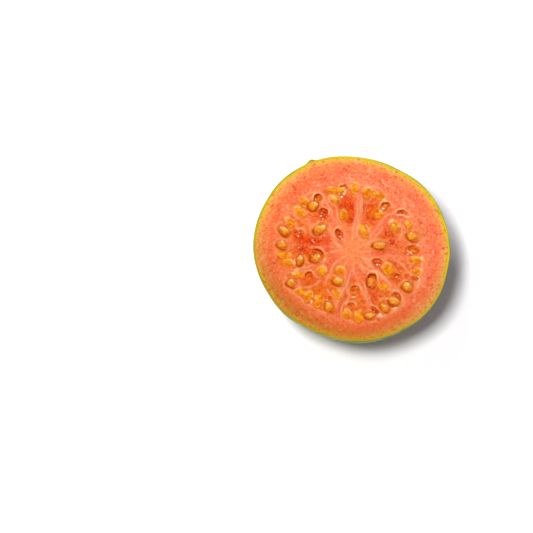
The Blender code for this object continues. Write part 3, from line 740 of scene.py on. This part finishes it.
def flesh_finish():
    """Coral flesh, yellow towards the skin, pale at the fibres and deep red in the jelly, with painted
    shade towards the front, in furrows, round seeds and in sockets, and painted highlights round sacs and
    on scraps.
    """
    finish = Finish("guava_flesh")
    mix, layers, stretch, value = finish.mix, finish.layers, finish.stretch, finish.value
    front_shade, orange, lime = value("front_shade"), value("orange"), value("lime")
    from_core, near_skin = value("from_core"), value("near_skin")
    band = finish.times(stretch(from_core, 26.0, 23.5), stretch(from_core, 20.0, 22.0))
    # Painted shade: towards the front, the flesh, its rim and its pulp are mixed darker and browner.
    pale_rim = layers(mix(front_shade, (255, 160, 86), (204, 110, 36)), (lime, 0.7, (230, 140, 78)))
    gold_rim = layers(
        mix(front_shade, (250, 190, 72), (192, 126, 30)),
        (lime, 0.8, (222, 162, 84)),
        (orange, 0.3, (228, 146, 64)),
        ("olive", 0.7, (170, 122, 40)))
    rim = layers(
        mix(front_shade, (232, 204, 18), (190, 146, 18)),
        (lime, 0.8, (214, 176, 62)),
        (orange, 0.3, (210, 160, 70)))
    grain = finish.noise(0.0010, 4.0, 0.7)
    colour = layers(
        mix(finish.patches(0.40, 0.62, 0.0045, 3.0, 0.6), (255, 133, 80), (255, 111, 74)),
        (orange, 0.5, (246, 106, 18)),
        (front_shade, 0.9, (226, 90, 36)),
        (stretch(from_core, 9.0, 1.0), 0.85, (254, 148, 82)),
        (band, 0.4, (254, 150, 98)),
        (stretch(near_skin, 4.4, 1.2), 0.9, pale_rim),
        (stretch(near_skin, 2.2, 0.7), 0.9, gold_rim),
        (stretch(near_skin, 1.0, 0.3), 1.0, rim),
        (stretch(value("streak"), 0.15, 0.8), 0.35, (240, 88, 40)),
        ("dash", 0.65, mix(front_shade, (218, 56, 8), (184, 62, 0))),
        (stretch(grain, 0.50, 0.60), 0.55, mix(front_shade, (236, 80, 26), (200, 76, 10))),
        (finish.patches(0.52, 0.64, 0.0006, 3.0, 0.65), 0.45, mix(front_shade, (255, 190, 144), (236, 140, 84))),
        ("milk", 0.6, mix(front_shade, (255, 178, 134), (234, 136, 82))))

    lobe, fibre = value("lobe"), value("fibre")
    cloud = finish.patches(0.40, 0.60, 0.0014, 4.0, 0.6)
    strand = finish.patches(0.42, 0.60, 0.0010, 4.0, 0.6, 1.0)
    orange_and_shaded_pulp = mix(cloud, (242, 130, 42), (222, 88, 0))
    pulp = layers(
        mix(cloud, (253, 138, 68), (224, 80, 2)),
        (stretch(finish.times(orange, front_shade, "ADD"), 0.1, 1.2), 0.9, orange_and_shaded_pulp))
    colour = layers(
        colour,
        (lobe, 0.75, pulp),
        ("jelly", 0.95, mix(strand, (242, 82, 0), (198, 26, 0))),
        ("honey", 0.9, mix(cloud, (242, 134, 18), (222, 92, 0))),
        ("shaded_furrow", 0.5, (228, 88, 24)),
        ("hair", 0.42, (255, 184, 130)),
        (finish.times(fibre, 0.25, "POWER"), 0.28, (255, 162, 104)),
        (fibre, 0.45, (255, 188, 138)),
        ("halo_and_highlight", 0.85, (255, 204, 128)),
        ("gold", 0.95, mix(cloud, (254, 170, 26), (230, 118, 0))),
        ("amber_shade", 0.9, (212, 92, 0)),
        ("hollow", 0.9, mix(strand, (232, 102, 0), (190, 54, 0))),
        ("scrap_and_glint", 0.8, (255, 204, 150)),
        (stretch(value("shade"), 0.1, 0.9), 0.9, (168, 42, 0)))
    finish.soft(0.12, 0.0004)
    finish.wet(0.03, 0.04, 0.08)
    normal = finish.bump(grain, 0.00010, 0.6)
    normal = finish.bump(finish.noise(0.00028, 3.0, 0.6), 0.00005, 0.6, Normal=normal)
    return finish.surface(colour, stretch(lobe, 0.0, 1.0, 0.5, 0.4), normal)


flesh = make_flesh()
flesh.data.materials.append(flesh_finish())
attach(flesh, "root")
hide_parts("guava_half")


# Seeds.
# Hard golden seeds the size of a match head, a little kidney-shaped with a dent on one
# side. Those in sacs are cut flush and show orange through the pulp that still covers them.

# The seeds' level is this far under the cut. The lifts say how far the middles of the seeds
# of each kind stand above it, and a painted shade keeps those in sockets as dark as their sockets.
SEED_LEVEL = 0.6
PROUD_LIFT = 0.2
FLUSH_LIFT = -0.08
LOW_LIFT = -0.34
HELD_LIFT = -0.12
LOW_SOCKET_SHADE = 1.0
# A seed fills this share of its sac
FLUSH_SHARE = 0.74
SEED_THICKNESS = 1.96
SEED_SHAPES = 4
SEED_ROUNDS = 4
SEED_TILT = math.radians(12.0)
FACETS = 9
FACET_REACH = 0.80
FACET_DEPTH = 0.62


def keep_shape(shape, name, collection):
    """Turn a shape into a smooth mesh, kept in a collection for copies to be made of."""
    mesh = bpy.data.meshes.new(name)
    shape.to_mesh(mesh)
    shape.free()
    mesh.shade_smooth()
    collection.objects.link(bpy.data.objects.new(name, mesh))
    return mesh


def make_seed_shape(number, collection):
    """One seed of unit size: an egg with a narrower end, a bend, a dent and flat facets."""
    draw = random.Random(40 + number)
    bend, taper, dent = draw.uniform(0.10, 0.22), draw.uniform(0.16, 0.30), draw.uniform(0.10, 0.2)
    facets = []
    for _ in range(FACETS):
        facets.append(Vector([draw.gauss(0.0, 1.0) for _ in range(3)]).normalized())
    shape = bmesh.new()
    bmesh.ops.create_icosphere(shape, subdivisions=SEED_ROUNDS, radius=1.0)
    for vert in shape.verts:
        place = vert.co.normalized()
        reach = 1.0
        for facet in facets:
            over = place.dot(facet) - FACET_REACH
            if over > 0.0:
                reach -= FACET_DEPTH * over
        side = (place - Vector((0.15, -1.0, 0.2)).normalized()).length
        reach -= dent * math.exp(-(side / 0.38) ** 2)
        x, y, z = place * reach
        y = y * (1.0 - taper * x) + bend * (x * x - 0.4)
        z *= 1.0 - 0.5 * taper * x
        vert.co = (x, y, min(z, 1.0))
    low = Vector([min(vert.co[axis] for vert in shape.verts) for axis in range(3)])
    high = Vector([max(vert.co[axis] for vert in shape.verts) for axis in range(3)])
    shape.transform(Matrix.Translation(-0.5 * (low + high)))
    size = high - low
    shape.transform(Matrix.Diagonal((1.0 / size.x, 1.0 / size.y, 1.0 / size.z, 1.0)))
    mesh = keep_shape(shape, f"seed_shape_{number}", collection)
    places = np.array([vert.co[:] for vert in mesh.vertices])
    set_values(mesh, "rise", 2.0 * places[:, 2])


def copies_tree():
    """Geometry nodes that put one of several shapes on each point, turned and sized."""
    tree = bpy.data.node_groups.new("put_shapes_on_points", "GeometryNodeTree")
    for name, kind in (("Points", "Geometry"), ("Shapes", "Collection"), ("Finish", "Material")):
        tree.interface.new_socket(name, in_out="INPUT", socket_type="NodeSocket" + kind)
    tree.interface.new_socket("Copies", in_out="OUTPUT", socket_type="NodeSocketGeometry")

    def stored(name, kind):
        made = tree.nodes.new("GeometryNodeInputNamedAttribute")
        made.data_type = kind
        made.inputs["Name"].default_value = name
        return made.outputs["Attribute"]

    start, end = tree.nodes.new("NodeGroupInput"), tree.nodes.new("NodeGroupOutput")
    shapes = tree.nodes.new("GeometryNodeCollectionInfo")
    shapes.inputs["Separate Children"].default_value = True
    shapes.inputs["Reset Children"].default_value = True
    put = tree.nodes.new("GeometryNodeInstanceOnPoints")
    put.inputs["Pick Instance"].default_value = True
    real = tree.nodes.new("GeometryNodeRealizeInstances")
    dress = tree.nodes.new("GeometryNodeSetMaterial")
    for source, target in (
            (start.outputs["Points"], put.inputs["Points"]),
            (start.outputs["Shapes"], shapes.inputs["Collection"]),
            (shapes.outputs["Instances"], put.inputs["Instance"]),
            (stored("shape", "INT"), put.inputs["Instance Index"]),
            (stored("turn", "FLOAT_VECTOR"), put.inputs["Rotation"]),
            (stored("size", "FLOAT_VECTOR"), put.inputs["Scale"]),
            (put.outputs["Instances"], real.inputs["Geometry"]),
            (real.outputs["Geometry"], dress.inputs["Geometry"]),
            (start.outputs["Finish"], dress.inputs["Material"]),
            (dress.outputs["Geometry"], end.inputs["Copies"])):
        tree.links.new(source, target)
    return tree


COPIES = copies_tree()


def make_copies(name, rows, shapes, material):
    """Rows of (place, turn, size, shape number, tone with painted shade) become one plain mesh piece."""
    base = make_piece(name + "_points", [row[0] for row in rows], [])
    mesh = base.data
    for key, column in (("turn", 1), ("size", 2)):
        layer = mesh.attributes.new(key, "FLOAT_VECTOR", "POINT")
        layer.data.foreach_set("vector", np.array([row[column] for row in rows], np.float32).ravel())
    layer = mesh.attributes.new("shape", "INT", "POINT")
    layer.data.foreach_set("value", np.array([row[3] for row in rows], np.int32))
    set_values(mesh, "tone_and_shade", [row[4] for row in rows])
    modifier = base.modifiers.new("copies", "NODES")
    modifier.node_group = COPIES
    for socket in COPIES.interface.items_tree:
        if socket.name == "Shapes":
            modifier[socket.identifier] = shapes
        if socket.name == "Finish":
            modifier[socket.identifier] = material
    graph = bpy.context.evaluated_depsgraph_get()
    result = bpy.data.meshes.new_from_object(base.evaluated_get(graph))
    result.name = name
    places = np.array([vert.co[:] for vert in result.vertices]) / MM - CENTRING
    middles = np.array([row[0] for row in rows])
    sizes = np.array([row[2] for row in rows]) / MM
    gaps = places[:, None, :2] - middles[None, :, :2]
    nearest = np.argmin(np.hypot(gaps[..., 0], gaps[..., 1]), axis=1)
    across, up = gaps[np.arange(len(places)), nearest].T / (0.25 * sizes[nearest, :2].sum(axis=1))
    # How far each point lies towards SUNNY_SIDE, where the seeds' highlights are painted and away from
    # which their shade is painted.
    sunny = math.radians(SUNNY_SIDE)
    set_values(result, "sunny", across * math.cos(sunny) + up * math.sin(sunny))
    bpy.data.objects.remove(base, do_unlink=True)
    return add_to_scene(name, result)


def seed_rows(pips, lift, seed, share=1.0, tone_and_shade=0.0):
    """Rows of seeds, each a share of the size of its sac or socket and so much above SEED_LEVEL."""
    draw = random.Random(seed)
    rows = []
    for across, up, length, width, turn in pips:
        place = (across, up, CUT_HEIGHT - SEED_LEVEL + lift)
        tilt = (draw.uniform(-SEED_TILT, SEED_TILT), draw.uniform(-0.5, 0.5) * SEED_TILT)
        half_turn = draw.choice((0.0, math.pi))
        thickness = SEED_THICKNESS * draw.uniform(0.9, 1.0) * share ** 3
        size = (length * share * MM, width * share * MM, thickness * MM)
        # The tone is random, plus a painted shade for seeds deep in sockets.
        rows.append((place, (*tilt, math.radians(turn) + half_turn), size,
                     draw.randrange(SEED_SHAPES), draw.random() + tone_and_shade))
    return rows


def seed_finish(name, base, shade, cream_highlight, deep, dark_from, dark_to, wetness):
    """Golden with darker blotches, a painted highlight in cream on the side that faces up the cut, and
    painted shade on the far side.
    """
    finish = Finish(name)
    sunny, tone_and_shade, rise = finish.value("sunny"), finish.value("tone_and_shade"), finish.value("rise")
    pale = finish.patches(0.38, 0.56, 0.0010, 3.0, 0.6, 0.6)
    for lit in (finish.stretch(sunny, -0.2, 0.6), finish.stretch(rise, 0.05, 0.5),
                finish.stretch(tone_and_shade, 1.4, 0.9)):
        pale = finish.times(pale, lit)
    colour = finish.layers(
        base,
        (finish.patches(0.44, 0.62, 0.0012, 3.0, 0.6, 0.6), 0.75, shade),
        (tone_and_shade, 0.4, shade),
        (finish.stretch(sunny, 0.1, -0.9), 0.6, shade),
        (pale, 0.85, cream_highlight),
        (finish.stretch(rise, dark_from, dark_to), 0.8, deep))
    finish.soft(0.15, 0.0004, (1.0, 0.5, 0.15))
    finish.wet(0.04, wetness, 0.07)
    normal = finish.bump(finish.noise(0.0004, 2.0), 0.00006, 0.5)
    return finish.surface(colour, finish.stretch(pale, 0.0, 1.0, 0.36, 0.46), normal)


seed_shapes = bpy.data.collections.new("seed_shapes")
for number in range(SEED_SHAPES):
    make_seed_shape(number, seed_shapes)

open_rows = seed_rows(PROUD_SEEDS, PROUD_LIFT, 5)
open_rows += seed_rows(LOW_SEEDS, LOW_LIFT, 6, 1.0, LOW_SOCKET_SHADE)
open_rows += seed_rows(HELD_SEEDS, HELD_LIFT, 8)
# Painted shade: the open seeds grow deep red-brown towards their foot, where they meet the pulp.
seeds = make_copies("seeds", open_rows, seed_shapes, seed_finish(
    "guava_seed", base=(255, 168, 28), shade=(224, 112, 0), cream_highlight=(255, 222, 140),
    deep=(176, 48, 0), dark_from=0.45, dark_to=0.0, wetness=0.12))
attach(seeds, "root")
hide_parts("guava_half")

sac_rows = seed_rows(FLUSH_SEEDS, FLUSH_LIFT, 7, FLUSH_SHARE)
sac_seeds = make_copies("seeds_in_sacs", sac_rows, seed_shapes, seed_finish(
    "guava_seed_in_sac", base=(255, 164, 10), shade=(216, 102, 0), cream_highlight=(255, 212, 110),
    deep=(206, 88, 0), dark_from=0.8, dark_to=1.0, wetness=0.06))
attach(sac_seeds, "root")
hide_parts("guava_half")


# Juice.
# Small beads of juice stand on the walls of the sockets and on the jelly, where the cut is wettest.
# They are painted milky to near white, as painted highlights of the wet glints, and shine hard.
BEAD_SIDES = 10
BEADS_IN_SOCKET = 1
BEADS_IN_JELLY = 2
# The larger wet spots, where the painted highlights are biggest: across, up and width
WET_SPOTS = [
    (10.0, 16.2, 0.9), (13.2, -19.4, 0.7), (8.3, -21.3, 0.7), (-18.2, -3.5, 0.4), (-7.1, 15.7, 0.5),
    (-12.9, -17.0, 0.3), (-9.9, 11.0, 0.8), (-9.3, 10.1, 0.7), (-3.3, 17.3, 0.8), (-4.1, 18.3, 0.6),
    (-2.1, 19.3, 0.7), (1.2, 18.4, 0.7), (9.8, 13.4, 0.8), (8.6, 12.6, 0.6), (17.4, 10.5, 0.6),
    (7.6, -5.1, 0.7), (18.3, -1.0, 0.8), (-17.0, 4.4, 0.7), (-8.6, -3.5, 0.4), (17.3, -1.6, 0.5),
]


def bead_rows():
    """Rows of beads: on the walls of the sockets, on the jelly, and the larger wet spots."""
    draw = random.Random(21)
    spots = []
    for across, up, length, width, *_ in SOCKETS:
        for _ in range(BEADS_IN_SOCKET):
            bearing = math.radians(draw.uniform(180.0, 330.0))
            reach = draw.uniform(0.35, 0.8)
            spots.append((across + 0.5 * length * reach * math.cos(bearing),
                          up + 0.5 * width * reach * math.sin(bearing)))
    for across, up, half_width, half_height, _ in JELLY:
        for _ in range(BEADS_IN_JELLY):
            spots.append((across + half_width * draw.uniform(-0.7, 0.7),
                          up + half_height * draw.uniform(-0.7, 0.7)))
    widths = [draw.uniform(0.18, 0.36) for _ in spots] + [spot[2] for spot in WET_SPOTS]
    spots = np.array(spots + [spot[:2] for spot in WET_SPOTS])
    heights = cut_face(spots[:, 0], spots[:, 1])["height"]
    rows = []
    for (x, y), wide, height in zip(spots, widths, heights):
        size = (wide * MM, wide * draw.uniform(0.6, 1.0) * MM, 0.5 * wide * MM)
        rows.append(((x, y, CUT_HEIGHT + height), (0.0, 0.0, draw.uniform(0.0, math.pi)), size, 0, 0.0))
    return rows


def juice_finish():
    """Milky to near-white drops with a hard shine, painted pale as highlights."""
    finish = Finish("guava_juice")
    whiter = finish.patches(0.4, 0.6, 0.0009, 1.0)
    finish.soft(0.2, 0.0004)
    finish.wet(0.3, 0.6, 0.03)
    return finish.surface(finish.mix(whiter, (255, 186, 130), (255, 240, 220)), 0.06)


bead_shapes = bpy.data.collections.new("bead_shapes")
bead = bmesh.new()
bmesh.ops.create_uvsphere(bead, u_segments=BEAD_SIDES, v_segments=BEAD_SIDES // 2 + 1, radius=0.5)
keep_shape(bead, "bead_shape", bead_shapes)
juice = make_copies("juice_beads", bead_rows(), bead_shapes, juice_finish())
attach(juice, "root")

for shapes in (seed_shapes, bead_shapes):
    for item in list(shapes.objects):
        bpy.data.objects.remove(item, do_unlink=True)
    bpy.data.collections.remove(shapes)


# Skin.
# A thin waxy skin, yellow, with painted shade making its cut edge darker and browner towards the front,
# and green towards the cut's upper right, with small pores and shallow dimples. The knife leaves its edge
# as a narrow level band.
SKIN_BEARINGS = 480
SKIN_RINGS = 120
SKIN_INNER_RINGS = 16
BASIN_RINGS = 14
SKIN_DIMPLE = 0.10
EDGE_ROUNDING = 0.06
EDGE_OVERLAP = 0.05
MEAN_RADIUS = 30.0
# The dimples fade out within these heights above the foot and below the cut
CALM_FOOT = 2.0
CALM_CUT = 1.5
# Bearings where the edge is green, and half the angle that each green part takes
GREEN_SIDES = [
    (66, 9), (46, 10), (24, 8), (4, 6), (-34, 12), (-58, 6), (206, 14), (128, 8), (142, 10), (160, 12),
    (180, 8), (232, 8), (-88, 5),
]


def make_skin():
    """Basin, round outside, level edge at the cut, and back down inside to the basin."""
    bearing = np.arange(SKIN_BEARINGS) * math.tau / SKIN_BEARINGS
    turns = np.linspace(ROUND_END, ROUND_START, SKIN_RINGS + 1)
    rings = [basin_ring(bearing, step / BASIN_RINGS) for step in range(1, BASIN_RINGS + 1)]
    for turn in turns:
        ring = outside_ring(bearing, turn)
        level = ring[0, 2]
        around = bearing * MEAN_RADIUS
        down = np.full_like(bearing, (turn - ROUND_START) * MEAN_RADIUS)
        dents = 0.5 + 0.28 * soft_noise(around, down, 3.0, 15) + 0.22 * soft_noise(around, down, 1.2, 16)
        calm = min(level / CALM_FOOT, 1.0) * min((CUT_HEIGHT - level) / CALM_CUT, 1.0)
        inward = SKIN_DIMPLE * calm * dents
        radius = np.hypot(ring[:, 0], ring[:, 1])
        ring[:, :2] *= ((radius - inward * math.cos(turn)) / radius)[:, None]
        ring[:, 2] += inward * math.sin(turn)
        rings.append(ring)
    rim = rings[-1].copy()
    rings[-1][:, 2] -= EDGE_ROUNDING
    rim_radius = np.hypot(rim[:, 0], rim[:, 1])
    for inset in (EDGE_ROUNDING, 0.5 * SKIN_THICKNESS, SKIN_THICKNESS + EDGE_OVERLAP):
        level_ring = rim.copy()
        level_ring[:, :2] *= ((rim_radius - inset) / rim_radius)[:, None]
        rings.append(level_ring)
    for turn in np.linspace(ROUND_START, ROUND_END, SKIN_INNER_RINGS)[1:]:
        rings.append(outside_ring(bearing, turn, SKIN_THICKNESS))
    for step in (BASIN_RINGS, BASIN_RINGS // 2, 2):
        rings.append(basin_ring(bearing, step / BASIN_RINGS, SKIN_THICKNESS))

    numbers = np.arange(len(rings) * SKIN_BEARINGS).reshape(len(rings), -1).tolist()
    faces = []
    for low, high in zip(numbers, numbers[1:]):
        faces.extend(band_faces(high, low))
    outer_pole = len(rings) * SKIN_BEARINGS
    for m in range(SKIN_BEARINGS):
        n = (m + 1) % SKIN_BEARINGS
        faces.append([m, outer_pole, n])
        faces.append([outer_pole + 1, numbers[-1][m], numbers[-1][n]])
    poles = np.array([[0.0, 0.0, BASIN_DEPTH], [0.0, 0.0, BASIN_DEPTH + SKIN_THICKNESS]])
    points = np.concatenate(rings + [poles])
    points = np.clip(points, CAD_LOW - CENTRING, CAD_HIGH - CENTRING)
    piece = make_piece("skin", points, faces)
    edge = edge_radius(np.arctan2(points[:, 1], points[:, 0]))
    inset = edge - np.hypot(points[:, 0], points[:, 1])
    on_cut = points[:, 2] > CUT_HEIGHT - 0.5 * EDGE_ROUNDING
    set_values(piece.data, "cut_band", np.where(on_cut, np.clip(inset / SKIN_THICKNESS, 0.0, 1.0), 0.0))
    set_values(piece.data, "below_cut", CUT_HEIGHT - points[:, 2])
    green = np.zeros(len(points))
    bearing = np.degrees(np.arctan2(points[:, 1], points[:, 0]))
    for middle, half in GREEN_SIDES:
        green = np.maximum(green, np.exp(-(wrap(bearing - middle, 360.0) / half) ** 2))
    set_values(piece.data, "green", green)
    sides = side_values(points[:, 0], points[:, 1])
    for name in ("front_shade", "lime"):
        set_values(piece.data, name, sides[name])
    return piece


def skin_finish():
    """Yellow-green wax over mottled green, with dark pores and a few corky scars."""
    finish = Finish("guava_skin")
    front_shade, lime, band = finish.value("front_shade"), finish.value("lime"), finish.value("cut_band")
    mottle = finish.patches(0.36, 0.64, 0.009, 4.0, 0.55, 0.5)
    pore = finish.stretch(finish.cells(0.0016), 0.16, 0.04)
    # Painted shade: the cut edge is mixed darker and browner towards the front.
    outer = finish.layers(
        finish.mix(front_shade, (222, 202, 4), (184, 148, 8)),
        (lime, 0.7, (204, 178, 48)),
        ("green", 0.8, (136, 160, 0)))
    inner = finish.layers(finish.mix(front_shade, (232, 204, 18), (190, 146, 18)), (lime, 0.8, (214, 176, 62)))
    colour = finish.layers(
        finish.mix(mottle, (188, 178, 40), (144, 150, 32)),
        (finish.patches(0.45, 0.7, 0.0016, 3.0, 0.6), 0.5, (106, 120, 22)),
        (pore, 0.55, (92, 108, 20)),
        (finish.patches(0.68, 0.76, 0.0034, 5.0, 0.7, 1.2), 0.6, (150, 118, 52)),
        (finish.stretch(finish.value("below_cut"), 1.2, 0.1), 0.6, (160, 164, 4)),
        (finish.stretch(band, 0.05, 0.15), 1.0, outer),
        (finish.stretch(band, 0.35, 1.0), 1.0, inner))
    finish.soft(0.1, 0.0006, (0.8, 0.7, 0.2))
    finish.wet(0.1, 0.0, 0.25)
    normal = finish.bump(finish.times(pore, -1.0), 0.00012, 0.6)
    normal = finish.bump(finish.noise(0.0011, 4.0, 0.6), 0.00018, 0.5, Normal=normal)
    return finish.surface(colour, finish.stretch(mottle, 0.0, 1.0, 0.42, 0.52), normal)


skin = make_skin()
skin.data.materials.append(skin_finish())
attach(skin, "root")
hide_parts("guava_half")


# Crown.
# What is left of the flower: five dry papery sepals round a small withered disc, grown to
# the floor of the basin at the blossom end. They hang clear of the table.
SEPAL_COUNT = 5
SEPAL_LENGTH = 3.1
SEPAL_WIDTH = 3.0
SEPAL_ROOT_RADIUS = 1.5
SEPAL_LEAN = math.radians(50.0)
SEPAL_PAPER = 0.16
SEPAL_ALONG = 14
SEPAL_ACROSS = 10
DISC_RADIUS = 1.5
DISC_HEIGHT = 0.7
# How deep the disc and the sepals' roots are sunk into the basin's floor
DISC_SUNK = 0.15
ROOT_SUNK = 0.25


def sepal_points(number, draw):
    """A grid on one sepal: pointed, cupped across, curled back at its tip, wrinkled."""
    around = math.tau * number / SEPAL_COUNT + draw.uniform(-0.08, 0.08)
    curl = draw.uniform(0.5, 0.9)
    points = []
    for i in range(SEPAL_ALONG + 1):
        along = i / SEPAL_ALONG
        lean = SEPAL_LEAN + curl * along
        out = SEPAL_ROOT_RADIUS + SEPAL_LENGTH * along * math.sin(lean)
        down = SEPAL_LENGTH * along * math.cos(lean)
        half = 0.5 * SEPAL_WIDTH * (1.0 - along ** 1.7) ** 0.7 + 0.04
        for j in range(SEPAL_ACROSS + 1):
            aside = half * (2.0 * j / SEPAL_ACROSS - 1.0)
            cup = 0.22 * (aside / (0.5 * SEPAL_WIDTH)) ** 2
            crease = 0.06 * math.sin(9.0 * aside + 4.0 * along + number)
            z = BASIN_DEPTH + ROOT_SUNK - down - cup + crease * along
            spot = Vector((out - 0.3 * cup, aside, z))
            points.append(Matrix.Rotation(around, 3, "Z") @ spot)
    return points


def make_crown():
    """Five sepals of paper thickness and the withered disc between them, as one mesh."""
    draw = random.Random(9)
    shape = bmesh.new()
    for number in range(SEPAL_COUNT):
        grid = [shape.verts.new(point) for point in sepal_points(number, draw)]
        row = SEPAL_ACROSS + 1
        made = []
        for i in range(SEPAL_ALONG):
            for j in range(SEPAL_ACROSS):
                k = i * row + j
                made.append(shape.faces.new((grid[k], grid[k + row], grid[k + row + 1], grid[k + 1])))
        bmesh.ops.solidify(shape, geom=made, thickness=SEPAL_PAPER)
    disc = bmesh.ops.create_uvsphere(shape, u_segments=32, v_segments=16, radius=1.0)["verts"]
    for vert in disc:
        x, y, z = vert.co
        wave = 1.0 + 0.08 * math.sin(11.0 * math.atan2(y, x)) * math.hypot(x, y)
        vert.co = (x * DISC_RADIUS * wave, y * DISC_RADIUS * wave,
                   BASIN_DEPTH + DISC_SUNK + z * DISC_HEIGHT)
    bmesh.ops.recalc_face_normals(shape, faces=shape.faces)
    shape.verts.index_update()
    points = [vert.co[:] for vert in shape.verts]
    faces = [[vert.index for vert in face.verts] for face in shape.faces]
    shape.free()
    return make_piece("crown", points, faces)


def crown_finish():
    """Dry brown with paler worn patches."""
    finish = Finish("guava_crown")
    colour = finish.layers(
        finish.mix(finish.patches(0.35, 0.68, 0.0018, 4.0, 0.6), (128, 98, 60), (84, 62, 38)),
        (finish.patches(0.5, 0.7, 0.0006, 3.0), 0.6, (160, 136, 92)))
    return finish.surface(colour, 0.8, finish.bump(finish.noise(0.0005, 4.0, 0.7), 0.00015, 0.8))


crown = make_crown()
crown.data.materials.append(crown_finish())
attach(crown, "root")
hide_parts("guava_half")


# Floor, light and camera.
# A plain pale sheet under the fruit, a soft lamp high at the front left, a weaker one at the
# back left, a pale room, and a long lens that looks steeply down on the cut face.
FLOOR_HALF = 3.0
CAMERA_ELEVATION = math.radians(72.0)
CAMERA_LENS = 300.0
SENSOR_WIDTH = 36.0
# The view is 533 pixels wide, of 0.3127 mm each, and its middle falls on this point
VIEW_WIDTH = 533.0 * 0.3127 * MM
AIM = Vector((-27.0, -5.8, CUT_HEIGHT)) * MM + Vector(CENTRING.tolist()) * MM

floor_mesh = bpy.data.meshes.new("floor")
floor_mesh.from_pydata(
    [(-FLOOR_HALF, -FLOOR_HALF, 0.0), (FLOOR_HALF, -FLOOR_HALF, 0.0),
     (FLOOR_HALF, FLOOR_HALF, 0.0), (-FLOOR_HALF, FLOOR_HALF, 0.0)], [], [(0, 1, 2, 3)])
floor = add_to_scene("floor", floor_mesh)
floor_finish = Finish("floor_sheet")
floor_finish.shader.inputs["Specular IOR Level"].default_value = 0.2
sheet = floor_finish.mix(floor_finish.noise(0.4, 1.0), (0.86, 0.86, 0.86, 1.0), (0.89, 0.89, 0.89, 1.0))
floor_mesh.materials.append(floor_finish.surface(sheet, 0.7))


def add_lamp(name, place, size, power):
    """A square soft lamp aimed at the fruit."""
    data = bpy.data.lights.new(name, "AREA")
    data.size = size
    data.energy = power
    lamp = add_to_scene(name, data)
    lamp.location = place
    aim = Vector((0.0, 0.0, 0.02)) - Vector(place)
    lamp.rotation_mode = "QUATERNION"
    lamp.rotation_quaternion = aim.to_track_quat("-Z", "Y")


add_lamp("top_lamp", (-0.160, -0.168, 0.890), size=0.18, power=8.2)
add_lamp("back_lamp", (-0.19, 0.22, 0.44), size=0.20, power=1.3)

world = bpy.data.worlds.new("pale_room")
world.use_nodes = True
room = world.node_tree.nodes["Background"].inputs
room["Color"].default_value = (0.95, 0.85, 1.10, 1.0)
room["Strength"].default_value = 0.24
bpy.context.scene.world = world
bpy.context.scene.view_settings.view_transform = "Standard"

camera_data = bpy.data.cameras.new("camera")
camera_data.lens = CAMERA_LENS
camera_data.sensor_width = SENSOR_WIDTH
camera_data.clip_start = 0.01
camera_data.clip_end = 20.0
camera = add_to_scene("camera", camera_data)
back = Vector((0.0, -math.cos(CAMERA_ELEVATION), math.sin(CAMERA_ELEVATION)))
camera.location = AIM + back * (VIEW_WIDTH * CAMERA_LENS / SENSOR_WIDTH)
camera.rotation_mode = "QUATERNION"
camera.rotation_quaternion = (-back).to_track_quat("-Z", "Y")
bpy.context.scene.camera = camera
